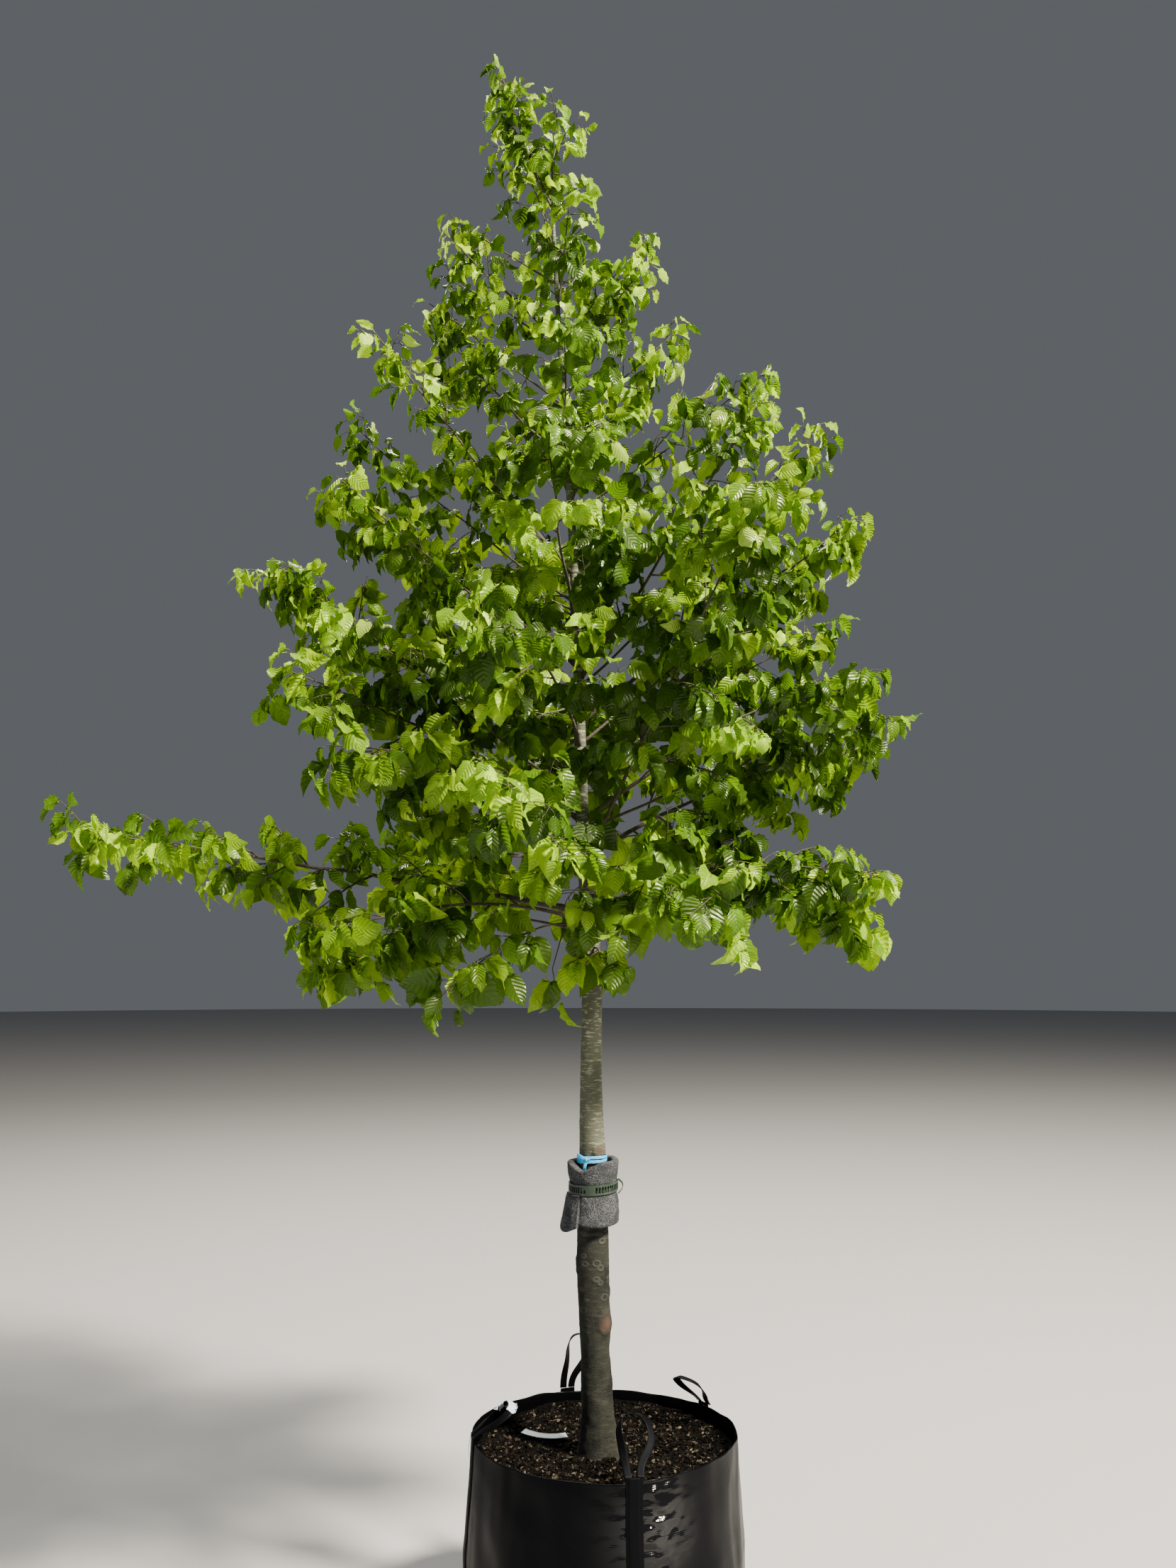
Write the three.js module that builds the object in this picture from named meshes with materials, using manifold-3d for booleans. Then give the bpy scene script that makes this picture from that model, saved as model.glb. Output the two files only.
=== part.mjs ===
// A young broadleaf tree, 4.3 m tall, with its root ball in a black woven planting bag.
// Millimetres, +Z up. The front of the tree looks towards -Y, and +X is to its right.
// The origin is the centre of the bag's flat underside.
import * as THREE from "three";
import { mergeVertices } from "three/addons/utils/BufferGeometryUtils.js";
import Module from "manifold-3d";

const wasm = await Module();
wasm.setup();

// Clearances between pieces
const GAP = 0.3;
const SOIL_SIDE_GAP = 0.8;
const SPACE = 9; // how much nearer a leaf is to its own stem than to any other
const LIMB_SPACE = 5; // between a leaf and any limb
const OWN_SPACE = 1.5; // between a leaf and what it doesn't grow from in its own mass
const FINEST = 0.01; // the shortest edge a joined mass may have

// Planting bag: outer radius at each height, from the foot to above the rim
const BAG_PROFILE = [
  [0, 316],
  [14, 326],
  [130, 340],
  [270, 343],
  [400, 335],
  [560, 324],
];
const BAG_SIDES = 36;
const BAG_WALL = 3;
const BAG_FLOOR = 4;
const RIM_HEIGHT = 514;
const RIM_TILT = 9; // the front of the rim stands this much higher, and the back lower
const RIM_WAVE = 4;
const FOLD_DEPTH = 4.5;
const FOLD_FADE = 1000; // the folds get shallower upwards, towards none at this height

// Soil inside the bag
const SOIL_TOP = 455;
const SOIL_FLAT_RADIUS = 245;
const SOIL_EDGE_RISE = 14;
const SOIL_BACK_RISE = 10;

// Lifting handles: bands of webbing sewn down the side of the bag, with a loop above each
const WEBBING = 2.5;
const BAND_WIDTH = 40;
const BAND_FOOT = 24;
const BAND_ABOVE_RIM = 8;
const BAND_SUNK = 1;
const LOOP_STRAP = 20;
const LOOP_NECK = 0.34; // how wide the foot of a loop is, as a share of its full width
// name, heading round the rim, loop height, loop width, lean inwards in degrees, skew sideways
const HANDLES = [
  ["handle_front", 281, 165, 92, 55, 22],
  ["handle_back", 107, 150, 74, 6, -26],
  ["handle_left", 193, 128, 84, 52, 14],
  ["handle_right", 36, 96, 112, 40, 10],
];

// White plastic tape hung over the left handle, and a blank label lying on the soil
const TAPE = 1.2;
const TAPE_WIDTH = 26;
const TAPE_DROP = 30; // outside the loop; the inner end is shorter
const TAPE_INNER_DROP = 21;
const LABEL_CENTRE = [-152, 95];
const LABEL_LENGTH = 112;
const LABEL_WIDTH = 20;
const LABEL_SAG = 9;
const LABEL_TURN = -6;

// Trunk: height, sideways lean and diameter, from the soil to the fork of the leader
const TRUNK = [
  [SOIL_TOP + GAP, -16, 82],
  [600, -19, 75],
  [780, -24, 77],
  [960, -28, 78],
  [1185, -30, 66],
  [1400, -32, 55],
  [1680, -31, 50],
  [2060, -56, 36],
  [2450, -66, 28],
  [3000, -93, 21],
  [3446, -123, 15],
  [3880, -146, 9],
];
const TRUNK_FOOT = TRUNK[0][0];
const TRUNK_TOP = TRUNK.at(-1)[0];
const TRUNK_SIDES = 10;
const CLEAR_STEM_TOP = 1300;
// Root flare at the foot: heading, how far it stands out, and its height
const BUTTRESSES = [
  [345, 19, 55],
  [275, 9, 40],
  [150, 8, 45],
];
const BUTTRESS_SPREAD = 28; // degrees
// Pruning scars that stand out of the bark: height, heading, how far, and their radius
const KNOTS = [
  [770, 318, 5, 30],
  [1187, 304, 7, 20],
];

// Foam collar, its belt and the ribbon above it
const COLLAR_CENTRE_X = -27;
const COLLAR_FOOT = 1004;
const COLLAR_TOP = 1157;
const COLLAR_RADIUS = 64;
const COLLAR_FLARE = 3;
const COLLAR_MOUTH = 13; // how far the foam stands off the trunk at its top edge
const COLLAR_SIDES = 20;
const FLAP_FROM = 172;
const FLAP_TO = 238;
const FLAP_THICKNESS = 20;
const FLAP_FOOT = 997;
const FLAP_SPLAY = 9;
const BELT_LOW = 1084;
const BELT_HIGH = 1106;
const BELT_THICKNESS = 3;
const RIBBON_LOW = 1157;
const RIBBON_HIGH = 1169;
const RIBBON_THICKNESS = 1.5;
const RIBBON_WIDTH = 7;
const KNOT_HEADING = 250;
const KNOT_RADIUS = 7;
const TAIL_TURN = -60;
const TAIL_LENGTH = 26;

// Limbs: thickness at the trunk is the base and a share of the reach
const BEND = 0.05; // sideways bow, as a share of the reach
const LIMB_BASE = 6.5;
const LIMB_GROWTH = 0.0105;
const LIMB_TIP = 7;
const BOUGH_SIDES = 6;
const BOUGH_RINGS = 4;

// Foliage, with leaves larger than life because there are few of them
const STEM_SIDES = 5;
const STEM_RINGS = 5;
const STEM_CLEAR = 30; // no twig this close to where the foliage begins
const STEM_CLEAR_AT_TRUNK = 60;
const NODE_PITCH = 112;
const SPIRAL = 137.5; // degrees round the stem from one twig to the next
const SPIRAL_JITTER = 40;
const FLATTEN = 0.62; // twigs spread less up and down than sideways
const TWIG_ANGLE = 52;
const TWIG_ANGLE_JITTER = 12;
const TWIG_JITTER = 0.25; // by how much of its length a twig can be shorter
const TWIG_RADIUS = 3.3;
const TWIG_TIP_RADIUS = 2.9;
const TWIG_DROOP = 0.22;
const LEAF_LENGTH = 205;
const LEAF_JITTER = 0.15;
const LEAF_WIDTH = 0.8;
const LEAF_THICKNESS = 5;
const LEAF_WIDEST = 0.44;
const LEAF_FOLD = 0.1;
const LEAF_PITCH = 50;
const LEAF_ROOT = 0.9; // how far a leaf's root is sunk past the middle of its twig
const END_ROOT = 2; // an end leaf is rooted this far back from the end
const LEAF_ANGLE = 48;
const LEAF_HANG = 0.85;
const HANG_JITTER = 0.6;
const LEAF_FACES_OUT = 0.6; // 0 where leaves lie level, 1 where they all face away from the trunk
const LEAF_SPACING = 60; // least distance between the middles of two leaves of one mass
const LEAF_TRIES = 7;
const TRY_TURN = 38;
const STEM_LEAF_TURNS = [162, 81, -81]; // round the stem from the twig at the same place
const SMALL_SPREAD = 120; // foliage narrower than this has smaller leaves, set closer
const SMALL_LEAF = 0.75;

// name, height on the trunk, heading (0 right, 90 back, 180 left, 270 front), reach,
// height of the tip, arch, half width of the foliage, and the share that is bare bough
const LIMBS = [
  ["low_left", 1790, 184, 1250, 1985, 10, 160, 0.3],
  ["low_hanging_left", 1760, 206, 650, 1740, 100, 220, 0.4],
  ["low_right", 1770, 2, 670, 1840, 170, 200, 0.35],
  ["low_front_right", 1820, 305, 480, 1830, 110, 200, 0.4],
  ["low_front", 1850, 256, 560, 2000, 90, 220, 0.4],
  ["low_back_left", 1880, 135, 720, 1990, 80, 220, 0.35],
  ["low_back_right", 1840, 55, 720, 1950, 90, 220, 0.35],
  ["low_tuft", 1690, 285, 80, 1680, 20, 90, 0],
  ["middle_left", 2030, 186, 780, 2400, 60, 220, 0.33],
  ["middle_front_left", 1980, 215, 640, 2160, 100, 220, 0.35],
  ["middle_right", 2030, 355, 665, 2410, 60, 220, 0.33],
  ["middle_low_right", 1930, 22, 800, 2270, 80, 210, 0],
  ["middle_front_right", 1930, 308, 640, 2700, -60, 210, 0.33],
  ["middle_front", 2230, 252, 520, 2420, 80, 230, 0],
  ["middle_back", 2080, 95, 700, 2480, 60, 240, 0],
  ["high_far_left", 2180, 176, 850, 2760, -20, 200, 0.33],
  ["high_left", 2460, 155, 770, 3060, 10, 220, 0.33],
  ["high_left_spire", 2720, 182, 535, 3390, -40, 160, 0.3],
  ["high_right_spire", 2420, 332, 510, 3070, -50, 190, 0.33],
  ["high_right", 2300, 12, 780, 2850, 40, 220, 0.33],
  ["high_front", 2560, 262, 450, 2900, 40, 220, 0],
  ["high_back", 2560, 92, 540, 2980, 20, 230, 0],
  ["upper_left", 3040, 172, 330, 3420, 0, 190, 0],
  ["upper_right", 2940, 2, 260, 3330, 0, 180, 0],
  ["upper_front", 2980, 268, 250, 3280, 0, 180, 0],
  ["upper_back", 2980, 95, 280, 3320, 0, 180, 0],
  ["crown_left", 3420, 182, 280, 3720, 0, 118, 0],
  ["crown_right", 3330, 355, 200, 3590, 0, 118, 0],
  ["crown_front", 3480, 285, 120, 3760, 0, 118, 0],
  ["crown_back", 3520, 85, 120, 3800, 0, 118, 0],
  ["leader_right", TRUNK_TOP, 0, 12, 4120, 0, 118, 0],
  ["leader_left", 3840, 178, 135, 4220, -60, 118, 0],
];

// Colours, roughness and metalness of the finishes
const FINISH = {
  bark: [0x7b7464, 0.85],
  twig: [0x5b4a3c, 0.8],
  leaf: [0x86b52c, 0.45],
  soil: [0x2b221a, 0.95],
  bag: [0x1c1d20, 0.5],
  foam: [0x7e8084, 0.95],
  belt: [0x2a3b2c, 0.45],
  ribbon: [0x2fa3dc, 0.5],
  tape: [0xc8d4dc, 0.5],
};

const UP = new THREE.Vector3(0, 0, 1);
const degrees = THREE.MathUtils.degToRad;

function headingVector(heading) {
  return new THREE.Vector3(Math.cos(degrees(heading)), Math.sin(degrees(heading)), 0);
}

// Smallest turn between two headings, in degrees
function turnBetween(a, b) {
  return Math.abs(((a - b + 540) % 360) - 180);
}

// A repeatable stream of numbers from 0 to 1
function seededRandom(seed) {
  let state = seed * 2654435761;
  return () => {
    state = (state + 0x6d2b79f5) | 0;
    let mixed = Math.imul(state ^ (state >>> 15), 1 | state);
    mixed = (mixed + Math.imul(mixed ^ (mixed >>> 7), 61 | mixed)) ^ mixed;
    return ((mixed ^ (mixed >>> 14)) >>> 0) / 4294967296;
  };
}

// A smooth curve through rows whose first number is the position along it
function along(rows, position, column) {
  const last = rows.length - 1;
  const here = rows.findLastIndex((row) => row[0] <= position);
  const i = THREE.MathUtils.clamp(here, 0, last - 1);
  const slope = (k) => {
    const before = rows[Math.max(k - 1, 0)];
    const after = rows[Math.min(k + 1, last)];
    return (after[column] - before[column]) / (after[0] - before[0]);
  };
  const span = rows[i + 1][0] - rows[i][0];
  const t = THREE.MathUtils.clamp((position - rows[i][0]) / span, 0, 1);
  const a = rows[i][column];
  const b = rows[i + 1][column];
  const ease = t * t * (3 - 2 * t);
  const bowA = (t - 2 * t * t + t ** 3) * span * slope(i);
  const bowB = (t ** 3 - t * t) * span * slope(i + 1);
  return a + (b - a) * ease + bowA + bowB;
}

// A closed body through rings of the same number of points, each counted anticlockwise
// round the way from the first ring to the last
function loft(rings) {
  const sides = rings[0].length;
  const positions = rings.flat().flatMap((p) => [p.x, p.y, p.z]);
  const faces = [];
  for (let r = 0; r < rings.length - 1; r++) {
    for (let j = 0; j < sides; j++) {
      const a = r * sides + j;
      const b = r * sides + ((j + 1) % sides);
      faces.push(a, b, b + sides, a, b + sides, a + sides);
    }
  }
  const top = (rings.length - 1) * sides;
  for (let j = 1; j < sides - 1; j++) {
    faces.push(0, j + 1, j, top, top + j, top + j + 1);
  }
  const geometry = new THREE.BufferGeometry();
  geometry.setAttribute("position", new THREE.Float32BufferAttribute(positions, 3));
  geometry.setIndex(faces);
  return geometry;
}

function toSolid(geometry) {
  const plain = geometry.clone();
  plain.deleteAttribute("normal");
  plain.deleteAttribute("uv");
  const merged = mergeVertices(plain);
  return new wasm.Manifold(
    new wasm.Mesh({
      numProp: 3,
      vertProperties: merged.attributes.position.array,
      triVerts: new Uint32Array(merged.index.array),
    }),
  );
}

function toGeometry(solid) {
  const mesh = solid.getMesh();
  const geometry = new THREE.BufferGeometry();
  geometry.setAttribute("position", new THREE.BufferAttribute(mesh.vertProperties, 3));
  geometry.setIndex(new THREE.BufferAttribute(mesh.triVerts, 1));
  return geometry;
}

// The largest body of a solid: cuts and joins can leave loose scraps
function mainBody(solid) {
  const bodies = solid.decompose();
  return bodies.reduce((best, body) => (body.volume() > best.volume() ? body : best));
}

const tree = new THREE.Group();
tree.name = "sapling_in_bag";

function addPiece(name, geometry, finish) {
  const [color, roughness] = FINISH[finish];
  const material = new THREE.MeshStandardMaterial({ color, roughness, metalness: 0 });
  const shown = geometry.index ? geometry.toNonIndexed() : geometry;
  shown.computeVertexNormals();
  const mesh = new THREE.Mesh(shown, material);
  mesh.name = name;
  tree.add(mesh);
}

// Trunk

function trunkAxis(height) {
  return new THREE.Vector3(along(TRUNK, height, 1), 0, height);
}

function trunkRadius(height, heading) {
  let radius = along(TRUNK, height, 2) / 2;
  for (const [side, size, tall] of BUTTRESSES) {
    const turn = turnBetween(heading, side) / BUTTRESS_SPREAD;
    radius += size * Math.exp(-turn * turn - (height - TRUNK_FOOT) / tall);
  }
  for (const [level, side, size, wide] of KNOTS) {
    const across = degrees(turnBetween(heading, side)) * radius;
    radius += size * Math.exp(-((height - level) ** 2 + across ** 2) / wide ** 2);
  }
  return radius;
}

function trunkHeights() {
  const heights = [];
  let step = 12;
  for (let height = TRUNK_FOOT; height < TRUNK_TOP - step; height += step) {
    heights.push(height);
    step = Math.min(step * 1.35, height < CLEAR_STEM_TOP ? 62 : 200);
  }
  heights.push(TRUNK_TOP);
  return heights;
}

// The trunk, or a body that stands a clearance out from it all over
function trunkGeometry(clearance = 0) {
  const rings = trunkHeights().map((height) => {
    const centre = trunkAxis(height);
    if (height === TRUNK_TOP) centre.z += clearance;
    return Array.from({ length: TRUNK_SIDES }, (_, j) => {
      const heading = (j * 360) / TRUNK_SIDES;
      const radius = trunkRadius(height, heading) + clearance;
      return centre.clone().addScaledVector(headingVector(heading), radius);
    });
  });
  return loft(rings);
}

const trunkSpace = toSolid(trunkGeometry(GAP * 1.15));
const limbBodies = [trunkSpace];
addPiece("trunk", trunkGeometry(), "bark");

// Planting bag and soil

// Outer radius of the bag at a corner of its outline
function cornerRadius(corner, height) {
  const heading = degrees((corner * 360) / BAG_SIDES);
  const i = THREE.MathUtils.clamp(
    BAG_PROFILE.findLastIndex((row) => row[0] <= height),
    0,
    BAG_PROFILE.length - 2,
  );
  const radiusAt = (level) => {
    const [z, radius] = BAG_PROFILE[level];
    const folds = 0.6 * Math.sin(4 * heading + 0.7) + 0.4 * Math.sin(7 * heading);
    return radius + FOLD_DEPTH * (1 - z / FOLD_FADE) * folds;
  };
  const share = (height - BAG_PROFILE[i][0]) / (BAG_PROFILE[i + 1][0] - BAG_PROFILE[i][0]);
  return THREE.MathUtils.lerp(radiusAt(i), radiusAt(i + 1), share);
}

// Outer radius of the bag at any heading, on the flat between two corners
function bagRadius(heading, height) {
  const step = 360 / BAG_SIDES;
  const turned = (heading + 360) % 360;
  const corner = Math.floor(turned / step);
  const near = cornerRadius(corner, height);
  const far = cornerRadius(corner + 1, height);
  const a = degrees(turned - corner * step);
  const b = degrees(step) - a;
  return (near * far * Math.sin(a + b)) / (near * Math.sin(a) + far * Math.sin(b));
}

function rimHeight(heading) {
  const front = Math.cos(degrees(heading - 270));
  return RIM_HEIGHT + RIM_TILT * front + RIM_WAVE * Math.cos(degrees(2 * heading + 40));
}

// One ring round the bag, at a height that can vary, set in from the outside
function bagRing(heightAt, inset) {
  return Array.from({ length: BAG_SIDES }, (_, corner) => {
    const heading = (corner * 360) / BAG_SIDES;
    const height = heightAt(heading);
    const radius = cornerRadius(corner, height) - inset;
    return headingVector(heading).multiplyScalar(radius).setZ(height);
  });
}

const bagLevels = BAG_PROFILE.map((row) => row[0]).filter((z) => z < SOIL_TOP);

function bagGeometry() {
  const outside = bagLevels.map((z) => bagRing(() => z, 0));
  const inside = bagLevels.slice(1).map((z) => bagRing(() => z, BAG_WALL));
  const rings = [
    ...outside,
    bagRing(rimHeight, 0),
    bagRing(rimHeight, BAG_WALL),
    ...inside.reverse(),
    bagRing(() => BAG_FLOOR, BAG_WALL),
  ];
  return loft(rings);
}

function soilEdge(heading) {
  const back = Math.max(0, Math.sin(degrees(heading)));
  return SOIL_TOP + SOIL_EDGE_RISE + SOIL_BACK_RISE * back;
}

function soilGeometry() {
  const inset = BAG_WALL + SOIL_SIDE_GAP;
  const rings = [
    bagRing(() => BAG_FLOOR + GAP, inset),
    ...bagLevels.slice(1).map((z) => bagRing(() => z, inset)),
    bagRing(soilEdge, inset),
    Array.from({ length: BAG_SIDES }, (_, corner) => {
      const around = headingVector((corner * 360) / BAG_SIDES);
      return around.multiplyScalar(SOIL_FLAT_RADIUS).setZ(SOIL_TOP);
    }),
  ];
  return loft(rings);
}

addPiece("soil", soilGeometry(), "soil");

// Lifting handles

// A sewn band lies flat on the outside of the bag, and stands a little above its rim
function bandSolid(heading) {
  const half = THREE.MathUtils.radToDeg(BAND_WIDTH / 2 / BAG_PROFILE[2][1]);
  const step = 360 / BAG_SIDES;
  const corner = Math.round(heading / step) * step;
  const middle = turnBetween(corner, heading) < half ? corner : heading;
  const headings = [heading - half, middle, heading + half];
  const levels = [BAND_FOOT, ...bagLevels.slice(2), rimHeight(heading) + BAND_ABOVE_RIM];
  const ringAt = (z) => {
    const point = (h, out) => headingVector(h).multiplyScalar(bagRadius(h, z) + out).setZ(z);
    const outer = headings.map((h) => point(h, WEBBING));
    const inner = headings.map((h) => point(h, -BAND_SUNK));
    return [...outer, ...inner.reverse()];
  };
  return toSolid(loft(levels.map(ringAt)));
}

// The outline of a drop-shaped loop, or set in from it by the width of the strap
function dropShape(width, height, skew, inset) {
  const half = width / 2 - inset;
  const shape = new THREE.Shape();
  const foot = inset * 0.9;
  const neck = half * LOOP_NECK;
  const top = height - inset;
  shape.moveTo(neck, foot);
  shape.bezierCurveTo(neck, height * 0.3, half + skew, height * 0.35, half + skew, height * 0.66);
  shape.bezierCurveTo(half + skew, height * 0.86, half * 0.6 + skew, top, skew, top);
  shape.bezierCurveTo(skew - half * 0.6, top, skew - half, height * 0.86, skew - half, height * 0.66);
  shape.bezierCurveTo(skew - half, height * 0.35, -neck, height * 0.3, -neck, foot);
  shape.closePath();
  return shape;
}

// Places a flat outline on a band's top: its own Y runs up and inwards, its Z through the webbing
function handleFrame(heading, lean) {
  const outward = headingVector(heading);
  const across = UP.clone().cross(outward);
  const rise = UP.clone().applyAxisAngle(across, -degrees(lean));
  const through = across.clone().cross(rise);
  const rim = rimHeight(heading);
  const middle = bagRadius(heading, rim) + (WEBBING - BAND_SUNK) / 2;
  const lift = GAP + (WEBBING / 2) * Math.sin(degrees(lean));
  const origin = outward.clone().multiplyScalar(middle).setZ(rim + BAND_ABOVE_RIM + lift);
  return new THREE.Matrix4().makeBasis(across, rise, through).setPosition(origin);
}

function loopGeometry(heading, height, width, lean, skew) {
  const outline = dropShape(width, height, skew, 0);
  outline.holes.push(dropShape(width, height, skew, LOOP_STRAP));
  const flat = new THREE.ExtrudeGeometry(outline, {
    depth: WEBBING,
    bevelEnabled: false,
    curveSegments: 3,
  });
  flat.translate(0, 0, -WEBBING / 2);
  return flat.applyMatrix4(handleFrame(heading, lean));
}

const bands = HANDLES.map(([, heading]) => bandSolid(heading));
const sewnBag = wasm.Manifold.union([toSolid(bagGeometry()), ...bands]);
addPiece("bag", toGeometry(mainBody(sewnBag)), "bag");
for (const [name, heading, height, width, lean, skew] of HANDLES) {
  addPiece(name, loopGeometry(heading, height, width, lean, skew), "bag");
}

// Tape over the left handle: an upside-down U that hangs on the loop's upper edge
function tapeGeometry() {
  const [, heading, height, , lean, skew] = HANDLES[2];
  const inner = WEBBING / 2 + GAP;
  const outer = inner + TAPE;
  const top = height + GAP;
  const section = new THREE.Shape();
  section.moveTo(-outer, top - TAPE_INNER_DROP);
  section.lineTo(-inner, top - TAPE_INNER_DROP);
  section.lineTo(-inner, top);
  section.lineTo(inner, top);
  section.lineTo(inner, top - TAPE_DROP);
  section.lineTo(outer, top - TAPE_DROP);
  section.lineTo(outer, top + TAPE);
  section.lineTo(-outer, top + TAPE);
  section.closePath();
  const tape = new THREE.ExtrudeGeometry(section, { depth: TAPE_WIDTH, bevelEnabled: false });
  tape.translate(0, 0, -TAPE_WIDTH / 2);
  tape.rotateY(Math.PI / 2);
  tape.translate(skew, 0, 0);
  return tape.applyMatrix4(handleFrame(heading, lean));
}

addPiece("label_tape", tapeGeometry(), "tape");

function labelGeometry() {
  const steps = 6;
  const half = LABEL_LENGTH / 2;
  const side = (offset) =>
    Array.from({ length: steps + 1 }, (_, i) => {
      const x = -half + (LABEL_LENGTH * i) / steps;
      return new THREE.Vector2(x, LABEL_SAG * (x / half) ** 2 + offset);
    });
  const outline = new THREE.Shape([...side(-LABEL_WIDTH / 2), ...side(LABEL_WIDTH / 2).reverse()]);
  const label = new THREE.ExtrudeGeometry(outline, { depth: TAPE, bevelEnabled: false });
  label.rotateZ(degrees(LABEL_TURN));
  return label.translate(LABEL_CENTRE[0], LABEL_CENTRE[1], SOIL_TOP + GAP);
}

addPiece("label_strip", labelGeometry(), "tape");

// Foam collar, belt and ribbon

// A round body about the collar's centre, through heights and radii
function roundGeometry(profile, sides = COLLAR_SIDES, centreX = COLLAR_CENTRE_X) {
  const rings = profile.map(([height, radius]) =>
    Array.from({ length: sides }, (_, j) => {
      const around = headingVector((j * 360) / sides).multiplyScalar(radius);
      return around.add(new THREE.Vector3(centreX, 0, height));
    }),
  );
  return loft(rings);
}

// The loose end of the foam hangs over the belt's lower edge on the left
function flapSolid() {
  const steps = 4;
  const top = BELT_LOW - 2;
  const ringAt = (height) => {
    const splay = (FLAP_SPLAY * (top - height)) / (top - FLAP_FOOT);
    const point = (i, out) => {
      const heading = FLAP_FROM + ((FLAP_TO - FLAP_FROM) * i) / steps;
      const spot = headingVector(heading).multiplyScalar(COLLAR_RADIUS + splay + out);
      return spot.add(new THREE.Vector3(COLLAR_CENTRE_X, 0, height));
    };
    const count = Array.from({ length: steps + 1 }, (_, i) => i);
    return [
      ...count.map((i) => point(i, FLAP_THICKNESS / 2)),
      ...count.reverse().map((i) => point(i, -FLAP_THICKNESS / 2)),
    ];
  };
  return toSolid(loft([FLAP_FOOT, (FLAP_FOOT + top) / 2, top].map(ringAt)));
}

function collarGeometry() {
  const body = toSolid(
    roundGeometry([
      [COLLAR_FOOT, COLLAR_RADIUS - COLLAR_FLARE],
      [BELT_LOW - 4, COLLAR_RADIUS],
      [BELT_HIGH + 4, COLLAR_RADIUS],
      [COLLAR_TOP, COLLAR_RADIUS + COLLAR_FLARE],
    ]),
  );
  const trunkHere = trunkRadius(COLLAR_TOP, 180);
  const mouth = toSolid(
    roundGeometry([
      [BELT_HIGH, trunkHere],
      [COLLAR_TOP + 1, trunkHere + COLLAR_MOUTH],
    ]),
  );
  const foam = body.add(flapSolid()).subtract(mouth).subtract(trunkSpace);
  return toGeometry(mainBody(foam));
}

function beltGeometry() {
  const inner = COLLAR_RADIUS + GAP;
  const outer = inner + BELT_THICKNESS;
  const band = toSolid(roundGeometry([[BELT_LOW, outer], [BELT_HIGH, outer]]));
  const hole = toSolid(roundGeometry([[BELT_LOW - 1, inner], [BELT_HIGH + 1, inner]]));
  return toGeometry(band.subtract(hole));
}

function ribbonGeometry() {
  const rings = [RIBBON_LOW, RIBBON_HIGH].map((height) =>
    Array.from({ length: TRUNK_SIDES }, (_, j) => {
      const heading = (j * 360) / TRUNK_SIDES;
      const radius = trunkRadius(height, heading) + GAP + RIBBON_THICKNESS;
      return trunkAxis(height).addScaledVector(headingVector(heading), radius);
    }),
  );
  const outward = headingVector(KNOT_HEADING);
  const knotOut = trunkRadius(RIBBON_LOW, KNOT_HEADING) + KNOT_RADIUS * 0.6;
  const spot = trunkAxis(RIBBON_LOW).addScaledVector(outward, knotOut);
  spot.z = (RIBBON_LOW + RIBBON_HIGH) / 2;
  const knot = new THREE.IcosahedronGeometry(KNOT_RADIUS, 0).translate(spot.x, spot.y, spot.z);
  const tail = new THREE.BoxGeometry(RIBBON_WIDTH, RIBBON_THICKNESS, TAIL_LENGTH);
  tail.translate(0, -RIBBON_THICKNESS, TAIL_LENGTH / 2);
  tail.rotateY(degrees(TAIL_TURN));
  tail.translate(spot.x, spot.y, spot.z);
  const tied = toSolid(loft(rings)).add(toSolid(knot)).add(toSolid(tail));
  return toGeometry(mainBody(tied.subtract(trunkSpace)));
}

addPiece("collar", collarGeometry(), "foam");
addPiece("belt", beltGeometry(), "belt");
addPiece("ribbon", ribbonGeometry(), "ribbon");

// Limbs: each is one curve, bare bough up to a share of it and foliage beyond

function limbCurve(limb, index) {
  const start = trunkAxis(limb.height);
  const tip = start.clone().addScaledVector(headingVector(limb.heading), limb.reach);
  tip.z = limb.tip;
  const middle = start.clone().lerp(tip, 0.45);
  const side = index % 2 ? 1 : -1;
  middle.addScaledVector(headingVector(limb.heading + 90), side * BEND * limb.reach);
  middle.z += limb.arch;
  return new THREE.QuadraticBezierCurve3(start, middle, tip);
}

function limbRadius(limb, t) {
  const base = (LIMB_BASE + LIMB_GROWTH * limb.reach) / 2;
  return THREE.MathUtils.lerp(base, LIMB_TIP / 2, t);
}

const limbs = LIMBS.map(([name, height, heading, reach, tip, arch, spread, bare], index) => {
  const limb = { name, height, heading, reach, tip, arch, spread, bare };
  limb.leafScale = spread < SMALL_SPREAD ? SMALL_LEAF : 1;
  limb.curve = limbCurve(limb, index);
  limb.length = limb.curve.getLength();
  return limb;
});

// A tapered tube on a curve, between two places on it
function taperedTube(curve, from, to, rings, sides, radiusAt) {
  const outline = Array.from({ length: rings }, (_, i) => {
    const t = from + ((to - from) * i) / (rings - 1);
    const centre = curve.getPoint(t);
    const ahead = curve.getTangent(t);
    const across = Math.abs(ahead.z) > 0.95 ? new THREE.Vector3(1, 0, 0) : UP;
    const right = ahead.clone().cross(across).normalize();
    const above = right.clone().cross(ahead);
    return Array.from({ length: sides }, (_, j) => {
      const turn = (-2 * Math.PI * j) / sides;
      const spoke = right.clone().multiplyScalar(Math.cos(turn));
      spoke.addScaledVector(above, Math.sin(turn));
      return centre.clone().addScaledVector(spoke, radiusAt(t));
    });
  });
  return toSolid(loft(outline));
}

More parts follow.
